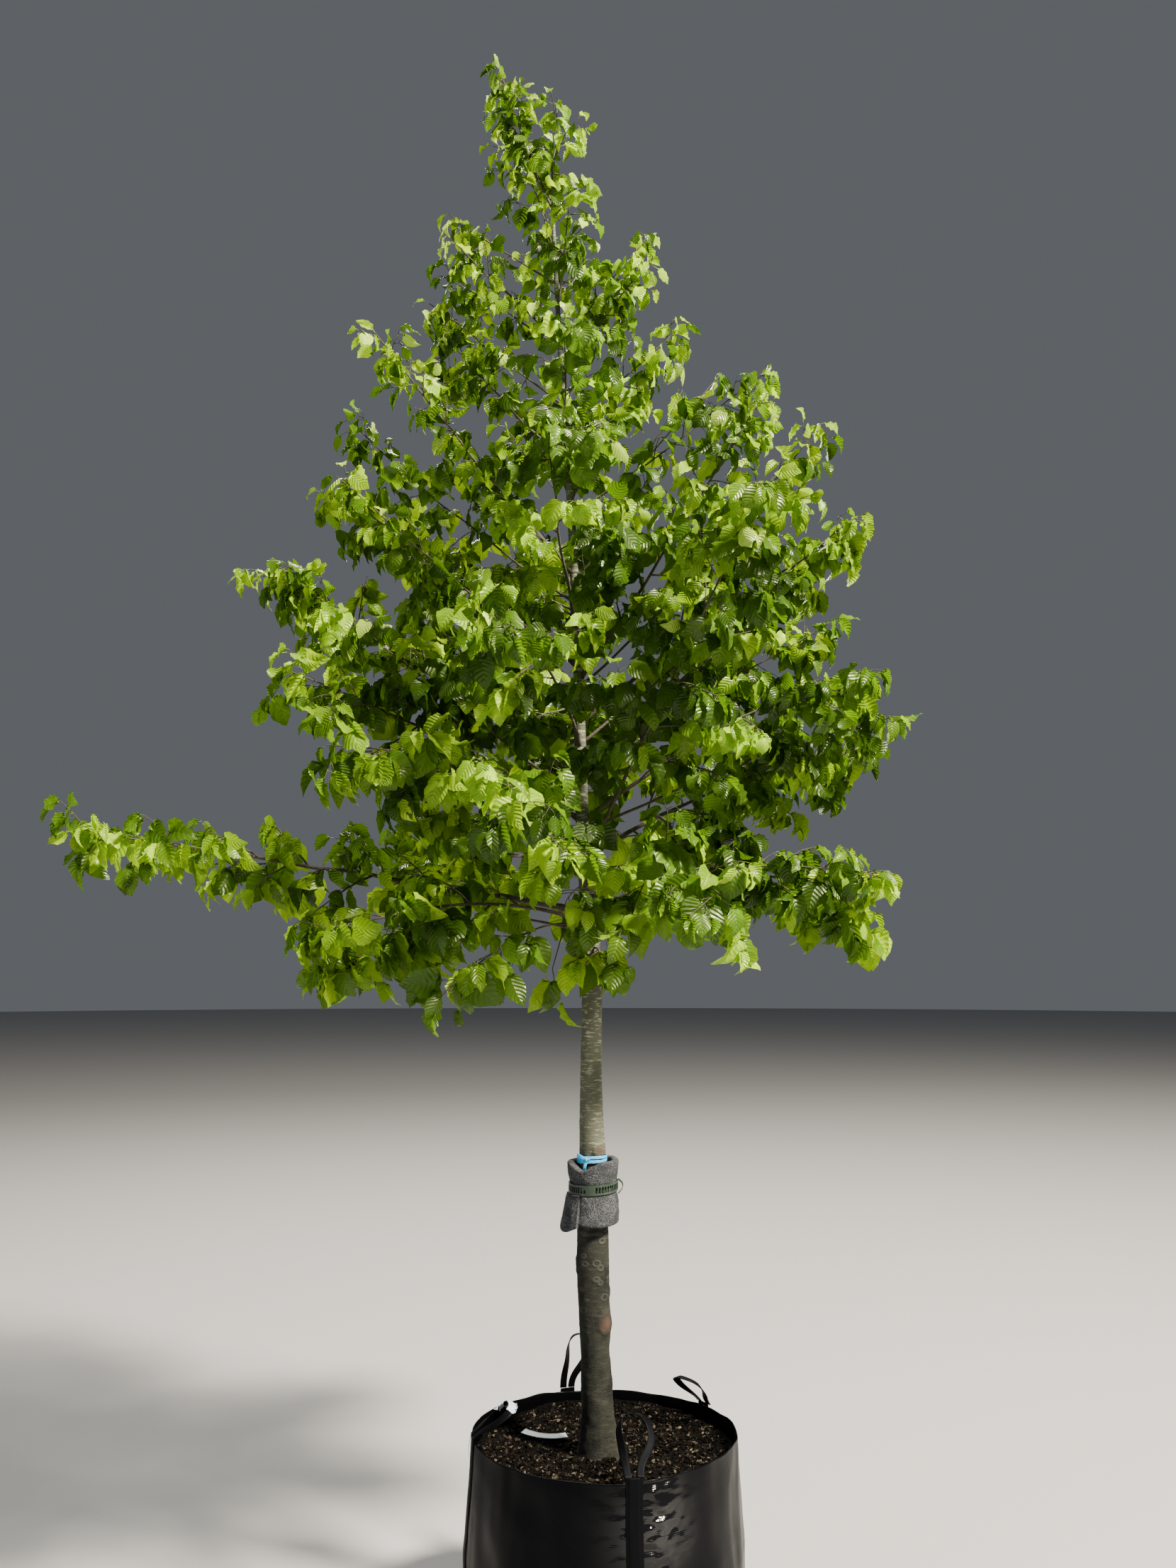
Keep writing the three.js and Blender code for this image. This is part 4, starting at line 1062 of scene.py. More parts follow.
def blade_meshes(spots, settings, chance):
    """Points, faces and blade coordinates of all leaves of one kind, with their stalks."""
    point, length, across, axis, normal = leaf_frames(spots, settings, chance)
    n = len(spots)
    s, t, w, beat = blade_grid()
    bend = 0.35 + 1.1 * chance.random((n, 1))
    fold = chance.normal(0.42, 0.26, (n, 1))
    cup = chance.normal(-0.35, 0.4, (n, 1))
    wave = 0.016 + 0.034 * chance.random((n, 1))
    twist = chance.normal(0, 0.35, (n, 1))
    plump = 0.8 + 0.26 * chance.random((n, 1))
    lean = chance.normal(0, 0.06, (n, 1))
    x = s * w * plump * np.cos(fold) + lean * t * (1 - t) * 4
    y = np.sin(bend * t) / bend
    z = -(1 - np.cos(bend * t)) / bend
    z = z + np.abs(s * w) * np.sin(fold) + cup * (s * w) ** 2 * 1.6
    z = z + wave * beat * np.abs(s) ** 1.5 * (w > 0.05)
    z = z + wave * 0.8 * np.sin(6 * t + 9 * twist) * s
    x, z = x * np.cos(twist * t) - z * np.sin(twist * t) * 0.5, z + x * np.sin(twist * t)
    stalk = 0.008 + 0.008 * chance.random((n, 1))
    base = point + unit(axis + UP * 0.5 - normal * 0.1) * stalk
    local = x[..., None] * across[:, None] + y[..., None] * axis[:, None]
    local = local + z[..., None] * normal[:, None]
    blades = base[:, None] + local * length[:, None, None]
    turn = np.arange(3)[:, None] * 2 * np.pi / 3
    ring = across[:, None] * np.cos(turn) + normal[:, None] * np.sin(turn)
    stalks = (point[:, None] + ring * STALK[0], base[:, None] + ring * STALK[1])
    points = np.concatenate((blades, *stalks), axis=1)
    coords = np.zeros(points.shape)
    coords[:, : len(s), 0] = s
    coords[:, : len(s), 1] = t
    coords[..., 2] = chance.random(n)[:, None]
    shift = (np.arange(n) * points.shape[1])[:, None, None]
    faces = (leaf_faces()[None] + shift).reshape(-1, 4)
    return points.reshape(-1, 3), faces, coords.reshape(-1, 3)


def sky_shows(points):
    """Which places lie on a line of sight from the front that sky shows through, low down."""
    middle = points - UP * LEAF_DROP
    sight = (middle - EYE) / (middle[:, 1:2] - EYE[1])
    low = part_way(points[:, 2], 2.75, -0.4)
    inner = part_way(np.abs(points[:, 0] - EYE[0]), 0.5, -0.1)
    return noise(sight * -EYE[1], GAP_SIZE, 61) < GAP_LEVEL - 2 * (1 - low * inner)


def within_reach(spots):
    """The leaf places that keep clear of the trunk and inside the crown's true reach."""
    low, high = (np.array(corner) for corner in SOLIDS_BOX)
    point = np.array([spot[0] for spot in spots])
    height = np.clip(point[:, 2] / MM, TRUNK_FOOT, TRUNK_TOP)
    gap = np.linalg.norm(point - trunk_axis(height), axis=1)
    inside = np.all((point > low + REACH_MARGIN) & (point < high - REACH_MARGIN), axis=1)
    kept = ~sky_shows(point) & (gap > TRUNK_MARGIN) & inside
    return [spot for spot, keep in zip(spots, kept) if keep]


class SAPLING_OT_crown(bpy.types.Operator):
    """Grows the limbs, twigs and leaves"""

    bl_idname = "sapling.crown"
    bl_label = "Limbs and leaves"

    def execute(self, context):
        settings = context.scene.sapling_crown
        crown = Crown(settings)
        for index, row in enumerate(LIMBS + FINE_LIMBS):
            crown.grow_limb(row, index)
        for place, count, size in TUFTS:
            crown.tuft(place, count, size)
        for line in HANGING_TWIGS:
            radii = np.linspace(*HANGING_RADII, len(line))
            crown.twigs.append(tube(line, radii, HANGING_SIDES))
        tones = (settings.twig_bark, "#1E1B17", "#6A6352", "#6F6B5E")
        # The last number makes the limbs paler: painted sunlight.
        wood = mottled_bark("young_bark", tones, 9, 0.7, 0.3)
        for name, tubes, nodes in (
            ("limbs", crown.limbs, BOUGH_NODES + FOLIAGE_NODES),
            ("twigs", crown.twigs, FOLIAGE_NODES),
        ):
            points, faces, _ = merge(tubes)
            piece = add_piece(name, points, faces, wood)
            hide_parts(*nodes)
        spots = within_reach(crown.leaves)
        for kind, (name, *colours) in enumerate(LEAF_KINDS):
            chosen = [spot for spot in spots if spot[4] == kind]
            if not chosen:
                raise RuntimeError("no leaves of kind " + name)
            blade = leaf_blade("leaf_" + name, *colours, TRANSLUCENCY)
            points, faces, coords = blade_meshes(chosen, settings, crown.chance)
            piece = add_piece("leaves_" + name, points, faces, blade, {"blade": coords})
            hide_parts(*FOLIAGE_NODES)
        return {"FINISHED"}


# Planting bag, soil and lifting loops

# Where the rim starts to wave, and how far its rolled lip comes down inside
WALL_TOP = 470
LIP = 26
# The cloth pulled into small creases by the front band: heading, height, and their reach
PULL = (288, 420, 15, 110)
# Radius in metres at which the weave's threads are counted round the bag
CLOTH_RADIUS = 0.336
# Half of a strap's section, in shares of half its width and half its thickness
STRAP_SECTION = ((-1, 0), (-0.92, 1), (-0.5, 1.1), (0, 1), (0.5, 1.1), (0.92, 1), (1, 0))
# Points of the soil's surface round and inwards, and its hidden levels
SOIL_GRID = (220, 60)
SOIL_UNDERSIDE = (420, 445)
SOIL_PEAK = 0.457
# The soil's heap round the trunk: distance from the middle, and half width, in metres
HEAP_RING = (0.05, 0.03)
# Bark chips: how many are thrown, how far out, and how clear of trunk and wall, in metres
CHIPS = 9000
CHIP_REACH = 0.326
CLEAR_OF_TRUNK = 0.048
CLEAR_OF_WALL = 0.014
# A small chip's size in metres, and how much larger the few big ones are
CHIP_SIZE = (0.0021, 0.0052)


def bag_radius(heading, height):
    """Outer radius of the filled bag in millimetres, with its standing folds."""
    turned = np.radians(heading)
    radius = np.interp(height, *np.array(BAG_PROFILE, float).T)
    folds = 0.6 * np.sin(4 * turned + 0.7) + 0.4 * np.sin(7 * turned)
    return radius + FOLD_DEPTH * (1 - height / FOLD_FADE) * folds


def near_band(points):
    """From 0 to 1: where the front band pulls the cloth into small creases."""
    heading, height, wide, tall = PULL
    side = np.degrees(np.arctan2(points[..., 1], points[..., 0]))
    level = points[..., 2] / MM
    return np.exp(-((turn_between(side, heading) / wide) ** 2) - ((level - height) / tall) ** 2)


def bag_wrinkles(points, height):
    """Creases of the filled cloth in millimetres, deeper near the foot and under the rim."""
    slack = 0.5 + 0.6 * hump(height - 60, 90) + 0.5 * hump(height - 500, 60)
    ridges = 1 - np.abs(noise(points * np.array((1, 1, 0.22)), 0.07, 21)) * 2
    slanted = points + points[..., [2, 2, 0]] * np.array((0.5, 0.5, 0.2))
    soft = noise(slanted, 0.16, 22) * 3.2 + noise(slanted, 0.06, 23) * 1.3
    crumple = (1 - np.abs(noise(points * np.array((0.6, 0.6, 1.7)), 0.07, 25)) * 2) * 2.6
    crumple = np.clip(crumple, -1, 5) * (near_band(points) + 0.1)
    return (np.clip(ridges, -0.4, 1) * 3.2 + soft * 1.5) * slack + crumple - 4


def bag_wall(headings, height):
    """Outer radius of the creased cloth in millimetres."""
    radius = bag_radius(headings, height)
    return radius + np.clip(bag_wrinkles(ring_points(headings, radius, height), height), -9, 6)


def rim_height(heading):
    """Height of the bag's rim in millimetres."""
    front = np.cos(np.radians(heading - 270))
    wave = RIM_WAVE * np.cos(np.radians(2 * np.asarray(heading) + 40))
    return RIM_HEIGHT + RIM_TILT * front + wave


class BagSettings(bpy.types.PropertyGroup):
    columns: IntProperty(
        name="Points round", description="Points round the bag's mesh", default=360, min=60
    )
    thread: FloatProperty(
        name="Thread spacing",
        description="Spacing of the woven tape, drawn coarser than the real 2 mm",
        default=0.004,
        unit="LENGTH",
    )
    colour: StringProperty(name="Bag", description="sRGB hex of the bag", default="#030304")
    soil: StringProperty(name="Soil", description="sRGB hex of the soil", default="#030303")


class SAPLING_OT_bag(bpy.types.Operator):
    """Makes the woven planting bag with its creases and rolled rim"""

    bl_idname = "sapling.bag"
    bl_label = "Planting bag"

    def execute(self, context):
        settings = context.scene.sapling_bag
        columns = settings.columns
        headings = np.arange(columns) * 360 / columns
        rim = rim_height(headings) + 2.5 * noise(heading_vector(headings), 0.13, 24)
        # Rings of the cloth: height, and how far they are set out from its wall
        wall = [(height, 0) for height in np.linspace(3, WALL_TOP, 74)]
        wall += [(WALL_TOP + (rim - WALL_TOP) * s, 0) for s in np.linspace(0.12, 0.94, 8)]
        wall += [(rim, 0.3), (rim + 0.8, -1.2), (rim - 2, -2.8), (rim - LIP, -3.6)]
        wall += [(np.minimum(h, rim - LIP - 1), -3.8) for h in np.linspace(480, 440, 7)]
        levels = np.array([np.broadcast_to(height, columns) for height, _ in wall])
        radii = bag_wall(headings, levels) + np.array([out for _, out in wall])[:, None]
        sole = [ring_points(headings, r, 0) for r in (300, bag_radius(headings, 0) - 6)]
        grid = np.concatenate((sole, ring_points(headings, radii, levels)))
        drops = np.concatenate((np.full((1, columns), -0.02), np.zeros((1, columns)), levels * MM))
        around = np.broadcast_to(np.radians(headings) * CLOTH_RADIUS, drops.shape)
        coords = np.stack((around, drops, near_band(grid)), axis=2)
        points, coords = (
            np.concatenate((part.reshape(-1, 3), np.zeros((1, 3)))) for part in (grid, coords)
        )
        centre = fan(np.arange(columns), grid.shape[0] * columns, False)
        faces = np.concatenate((grid_faces(grid.shape[0], columns, True), centre))
        thread = settings.thread / MM
        cloth = woven_plastic(
            "woven_polypropylene", settings.colour, "#0A0A0A", thread, 0.3, 0.07
        )
        bag = add_piece("bag_cloth", points, faces, cloth, {"cloth": coords})
        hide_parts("bag")
        return {"FINISHED"}


def square_to(ahead, ways):
    """Directions turned square to the way ahead."""
    return unit(ways - ahead * np.sum(ways * ahead, axis=1, keepdims=True))


def strap_mesh(path, through, width, thickness):
    """A flat strap along a path, with rounded edges. Its width lies across the path."""
    ahead = unit(np.gradient(path, axis=0))
    through = square_to(ahead, through)
    across = np.cross(ahead, through)
    section = STRAP_SECTION + tuple((x, -y) for x, y in STRAP_SECTION[-2:0:-1])
    section = np.array(section) * (width / 2, thickness / 2)
    rings = (
        path[:, None]
        + across[:, None] * section[None, :, :1]
        + through[:, None] * section[None, :, 1:]
    )
    count = len(section)
    length = np.concatenate(([0], np.cumsum(np.linalg.norm(np.diff(path, axis=0), axis=1))))
    place = np.zeros((len(path), count, 3))
    place[..., 0] = section[:, 0]
    place[..., 1] = length[:, None]
    faces = grid_faces(len(path), count, True)[:, ::-1]
    c = np.arange(1, count - 1)
    top = (len(path) - 1) * count
    start = np.stack((np.zeros_like(c), c, c + 1, c + 1), axis=1)
    end = np.stack((np.full_like(c, top), top + c + 1, top + c, top + c), axis=1)
    return rings.reshape(-1, 3), np.concatenate((faces, start, end)), place.reshape(-1, 3)


def handle_frame(heading, lean):
    """Directions across, up and through a loop, and the point it stands on."""
    outward = heading_vector(heading)
    across = np.cross(UP, outward)
    tilt = math.radians(lean)
    rise = UP * math.cos(tilt) - outward * math.sin(tilt)
    rim = rim_height(heading)
    origin = ring_points(heading, bag_radius(heading, rim) + 0.75, rim + BAND_ABOVE_RIM)
    return across, rise, np.cross(across, rise), origin


def loop_line(width, height, skew):
    """The middle line of a drop-shaped loop in its own plane, up on the right and down left."""
    half = (width - STRAP_WIDTH) / 2
    top = height - STRAP_WIDTH / 2
    neck = half * 0.34 + 2
    low, high = height * 0.35, height * 0.84
    right, left = half + skew, skew - half
    curves = (
        ((neck, 0), (neck, height * 0.3), (right, low), (right, height * 0.64)),
        ((right, height * 0.64), (right, high), (half * 0.6 + skew, top), (skew, top)),
        ((skew, top), (skew - half * 0.6, top), (left, high), (left, height * 0.64)),
        ((left, height * 0.64), (left, low), (-neck, height * 0.3), (-neck, 0)),
    )
    t = np.linspace(0, 1, 25, endpoint=False)[:, None]
    parts = [
        (1 - t) ** 3 * a + 3 * t * (1 - t) ** 2 * b + 3 * t * t * (1 - t) * c + t**3 * d
        for a, b, c, d in np.array(curves, float)
    ]
    return np.concatenate((*parts, curves[-1][-1:])) * MM


def loop_strap(index):
    """The middle line of one loop's strap, and the way that its flat side faces."""
    _, heading, height, width, lean, skew = HANDLES[index]
    across, rise, through, origin = handle_frame(heading, lean)
    flat = loop_line(width, height, skew)
    path = origin + flat[:, :1] * across + flat[:, 1:] * rise
    t = np.linspace(0, 1, len(path))
    sway = np.sin(t * 2 * np.pi + index) * 0.003 * np.sin(t * np.pi)
    path = path + sway[:, None] * through
    rising, falling = STRAP_TURN[index]
    turn = np.interp(t, (0, 0.08, 0.34, 0.6, 0.92, 1), (0, 0, rising, falling, 0, 0))
    turn = np.convolve(np.pad(turn, 6, mode="edge"), np.ones(13) / 13, mode="valid")
    sideways = np.cross(unit(np.gradient(path, axis=0)), through)
    return path, through * np.cos(turn)[:, None] + sideways * np.sin(turn)[:, None]


class SAPLING_OT_handles(bpy.types.Operator):
    """Makes the sewn webbing bands and the four lifting loops"""

    bl_idname = "sapling.handles"
    bl_label = "Lifting loops"

    def execute(self, context):
        webbing = woven_plastic("webbing", "#030304", "#080808", 2.6, 0.5, 0.08)
        bands = []
        for index, (name, heading, *_) in enumerate(HANDLES):
            path, facing = loop_strap(index)
            points, faces, place = strap_mesh(path, facing, STRAP_WIDTH * MM, WEBBING * MM)
            loop = add_piece(name + "_strap", points, faces, webbing, {"cloth": place})
            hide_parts(name)
            top = rim_height(heading) + BAND_ABOVE_RIM
            levels = np.concatenate((np.linspace(BAND_FOOT, 500, 70), (top - 1, top)))
            here = heading + np.sin(levels / 90 + index) * 0.35
            outward = np.tile(heading_vector(heading), (len(levels), 1))
            for side in (0, 1):
                line = ring_points(here, bag_wall(here, levels) + 1.2 + 1.2 * side, levels)
                wide = BAND_WIDTH - 12 * side
                bands.append(strap_mesh(line, outward, wide * MM, 2 * MM))
        points, faces, place = merge(bands)
        sewn = add_piece("sewn_bands", points, faces, webbing, {"cloth": place})
        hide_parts("bag")
        return {"FINISHED"}


def soil_level(headings, outer):
    """Height of the soil in millimetres: it rises to the wall, and more at the back."""
    back = np.maximum(0, np.sin(np.radians(headings)))
    return SOIL_TOP + outer * (SOIL_EDGE_RISE + SOIL_BACK_RISE * back)


def soil_wall(headings):
    """Radius in millimetres of the bag's wall where the soil meets it."""
    return bag_wall(headings, np.full(len(headings), SOIL_TOP + SOIL_EDGE_RISE))


def from_trunk(spots):
    """Level distance in metres from the middle of the trunk's foot."""
    return np.linalg.norm(spots[..., :2] - trunk_axis(SOIL_TOP)[:2], axis=-1)


def soil_heap(spots):
    """How high the soil is heaped up round the trunk, in millimetres."""
    return SOIL_HEAP * hump(from_trunk(spots) - HEAP_RING[0], HEAP_RING[1])


class SAPLING_OT_soil(bpy.types.Operator):
    """Makes the soil's crumbly surface and the bark chips that lie on it"""

    bl_idname = "sapling.soil"
    bl_label = "Soil"

    def surface(self):
        """Points and faces of the soil, from its underside up the wall and over its top."""
        columns, rows = SOIL_GRID
        headings = np.arange(columns) * 360 / columns
        share = np.linspace(1, 0.05, rows)[:, None]
        edge = soil_wall(headings) - 6
        radius = edge * share
        outer = np.clip((radius - SOIL_FLAT_RADIUS) / (edge - SOIL_FLAT_RADIUS), 0, 1)
        top = ring_points(headings, radius, soil_level(headings, outer))
        lumps = noise(top, 0.05, 41) * 3.5 + noise(top, 0.018, 42) * 2.4
        lumps = lumps + noise(top, 0.007, 43) * 1.5 + soil_heap(top)
        top[..., 2] += (lumps + 1) * MM * np.clip(share * 6 - 0.3, 0, 1)
        under = [ring_points(headings, edge, level) for level in SOIL_UNDERSIDE]
        grid = np.concatenate((under, top)).reshape(-1, 3)
        middle = ((0, 0, SOIL_PEAK), (0, 0, SOIL_UNDERSIDE[0] * MM))
        count = len(grid)
        j = np.arange(columns)
        ends = (fan(count - columns + j, count), fan(j, count + 1, False))
        faces = np.concatenate((grid_faces(count // columns, columns, True), *ends))
        return np.concatenate((grid, middle)), faces

    def chips(self, chance):
        """Points, faces and tints of the chips: bent boxes, most of them small and dark."""
        away = np.sqrt(chance.random(CHIPS)) * CHIP_REACH
        turn = chance.random(CHIPS) * 360
        spot = heading_vector(turn) * away[:, None]
        wall = soil_wall(turn) * MM - CLEAR_OF_WALL
        keep = (from_trunk(spot) > CLEAR_OF_TRUNK) & (away < wall)
        spot, away, turn = spot[keep], away[keep], turn[keep]
        n = len(spot)
        heap = soil_heap(spot)
        spot[:, 2] = soil_level(turn, part_way(away * 1000, SOIL_FLAT_RADIUS, 85)) * MM
        spot[:, 2] += (noise(spot, 0.05, 41) * 3.5 + 2.5 + heap) * MM
        size = CHIP_SIZE[0] + CHIP_SIZE[1] * chance.random((n, 1)) ** 2.8
        flat = 0.35 + 0.4 * chance.random((n, 1))
        shape = np.concatenate((size * 1.5, size * 0.9, size * flat), axis=1)
        square = ((-1, -1), (1, -1), (1, 1), (-1, 1))
        box = np.array([(x, y, z) for z in (-1, 1) for x, y in square])
        jitter = 1 + chance.normal(0, 0.28, (n, 8, 3))
        local = box[None] * jitter * shape[:, None] / 1.6
        spin = chance.normal(0, 1, (n, 3, 3))
        third = unit(spin[:, 2] * 0.4 + UP)
        first = unit(np.cross(spin[:, 0], third))
        points = spot[:, None]
        for axis, way in enumerate((first, np.cross(third, first), third)):
            points = points + local[..., axis : axis + 1] * way[:, None]
        sides = [(i, (i + 1) % 4, (i + 1) % 4 + 4, i + 4) for i in range(4)]
        cube = np.array(((0, 3, 2, 1), (4, 5, 6, 7), *sides))
        faces = (cube[None] + (np.arange(n) * 8)[:, None, None]).reshape(-1, 4)
        tint = np.zeros((n, 8, 3))
        tint[..., 0] = chance.random((n, 1)) ** 1.8
        # Share of the pale tone: grit, and in part painted sun glints.
        tint[..., 1] = (chance.random((n, 1)) ** 13) * 0.95
        return points.reshape(-1, 3), faces, tint.reshape(-1, 3)

    def execute(self, context):
        settings = context.scene.sapling_bag
        # The last tone is the pale grit, which also stands for painted sun glints.
        earth = potting_soil("potting_soil", settings.soil, "#120E0A", "#60584B")
        points, faces = self.surface()
        blank = np.zeros((len(points), 3))
        soil = add_piece("soil_surface", points, faces, earth, {"crumb": blank})
        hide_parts("soil")
        points, faces, tint = self.chips(np.random.default_rng(9))
        crumbs = add_piece("bark_chips", points, faces, earth, {"crumb": tint}, smooth=False)
        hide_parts("soil")
        return {"FINISHED"}


# Foam collar, belt and ribbon

# Share of a foam sheet's height that each of its rounded edges takes up
EDGE = 0.03
COLLAR_COLUMNS = 200
# How far the belt draws the foam in, and the half height over which it does
WAIST = (5.5, 15)
# Dips of the collar's upper edge: depth, heading and half width
DIPS = ((24, 246, 34), (7, 150, 40))
# The loose flap: from and to which heading, its columns and thickness
FLAP_SPAN = (170, 238)
FLAP_COLUMNS = 46
FLAP_THICKNESS = 13
# Slots of the belt's ladder: points for each rung, and the plain part's heading and half width
RUNG = 4
BELT_EDGES = (BELT_LOW - 1, BELT_LOW + 4.2, BELT_HIGH - 3.8, BELT_HIGH + 1.0)
BELT_THICKNESS = 3.0
PLAIN_BELT = (262, 10)
TAIL_HEADING = 352
# Turns of the ribbon: height above its lower edge, distance from the bark, phase of its wave
RIBBON_TURNS = ((5.5, 0.6, 0.4), (1.0, 1.2, 1.9), (9.5, 1.7, 3.4))
# What hangs from the ribbon's knot: way sideways and up, length and width
RIBBON_ENDS = ((-1, 0.62, 0.03, 0.008), (-0.25, -1, 0.03, 0.0085), (0.5, 0.35, 0.012, 0.006))
RIBBON_THICKNESS = 0.0011


def round_collar(headings, radius, height):
    """Points round the collar's middle, in metres, from millimetres."""
    return ring_points(headings, radius, height) + np.array((COLLAR_X * MM, 0, 0))


def collar_relief(points):
    """Dents and fuzz of the foam, in millimetres."""
    dents = noise(points, 0.045, 51) * 2.2 + noise(points, 0.012, 52) * 0.8
    return dents + noise(points, 0.004, 53) * 0.35


def foam_sheet(headings, low, high, faces_at, closed):
    """A thick sheet bent round the trunk, with rounded top and bottom edges.

    Its height is given at each heading, and its outer and inner radius by a function of height.
    """
    tall = high - low

    def rounded(share, way):
        """Radii and heights over the upper edge, or back over the lower one."""
        outer, inner = faces_at(low + tall * share)
        thick = outer - inner
        return [
            (
                inner + thick / 2 + math.sin(turn * way) * thick / 2,
                low + tall * share + math.cos(turn) * tall * EDGE * way,
            )
            for turn in np.radians((60, 30, 0, -30, -60))
        ]

    rows = []
    for share in np.linspace(EDGE, 1 - EDGE, 34):
        height = low + tall * share
        waist = WAIST[0] * hump(height - (BELT_LOW + BELT_HIGH) / 2, WAIST[1])
        rows.append((faces_at(height)[0] - waist, height))
    rows += rounded(1 - EDGE, 1)
    for share in np.linspace(1 - EDGE, EDGE, 18):
        rows.append((faces_at(low + tall * share)[1], low + tall * share))
    rows += rounded(EDGE, -1)
    radius, height = np.array(rows).swapaxes(0, 1)
    relief = collar_relief(round_collar(headings, radius, height))
    grid = round_collar(headings, radius + relief, height)

    n = len(headings)
    seam = np.arange(n if closed else n - 1)
    after = (seam + 1) % n
    last = (len(rows) - 1) * n
    parts = [
        grid_faces(len(rows), n, closed),
        np.stack((last + seam, last + after, after, seam), axis=1),
    ]
    if not closed:
        i = np.arange(len(rows) // 2 - 1)
        for column, way in ((0, -1), (n - 1, 1)):
            loop = np.arange(len(rows)) * n + column
            cap = np.stack((loop[i], loop[i + 1], loop[-i - 2], loop[-i - 1]), axis=1)
            parts.append(cap[:, ::way])
    return grid.reshape(-1, 3), np.concatenate(parts)


def ladder_faces(kept, index):
    """Faces of a ladder whose kept cells have both faces, and walls towards its slots.

    The index holds the points' numbers: inside and outside, each by edge and round.
    """
    inside, outside = index
    steps = kept.shape[1]
    room = np.pad(kept, ((1, 1), (0, 0)))
    faces = []
    for band, c in zip(*np.nonzero(kept)):
        d = (c + 1) % steps
        here, after, above, beyond = (band, c), (band, d), (band + 1, c), (band + 1, d)
        faces.append([outside[spot] for spot in (here, after, beyond, above)])
        faces.append([inside[spot] for spot in (after, here, above, beyond)])
        for neighbour, first, second in (
            ((band, c), here, after),
            ((band + 2, c), beyond, above),
            ((band + 1, c - 1), above, here),
            ((band + 1, d), after, beyond),
        ):
            if not room[neighbour]:
                faces.append([inside[first], inside[second], outside[second], outside[first]])
    return np.array(faces)


def collar_faces(height):
    """Outer and inner radius of the wrapped foam: tight at the belt, open at its mouth."""
    outer = COLLAR_RADIUS + 3.5 * part_way(height, 1112, 45) + 3 * part_way(height, 1078, -70)
    inner = 37.5 + 11 * part_way(height, BELT_HIGH, 50) + 3 * part_way(height, 1070, -60)
    return outer - 1.5, inner


def flap_faces(height):
    """Outer and inner radius of the loose flap, which stands off more towards its foot."""
    outer = COLLAR_RADIUS + 5 + 15 * part_way(height, BELT_LOW, -85)
    return outer, outer - FLAP_THICKNESS


class CollarSettings(bpy.types.PropertyGroup):
    foam: StringProperty(name="Foam", description="sRGB hex of the foam", default="#303336")
    belt: StringProperty(name="Belt", description="sRGB hex of the belt", default="#1B2C1F")
    ribbon: StringProperty(name="Ribbon", description="sRGB hex of the ribbon", default="#2BA2DC")
    rungs: IntProperty(
        name="Rungs", description="Rungs of the belt's ladder, all round", default=50, min=12
    )


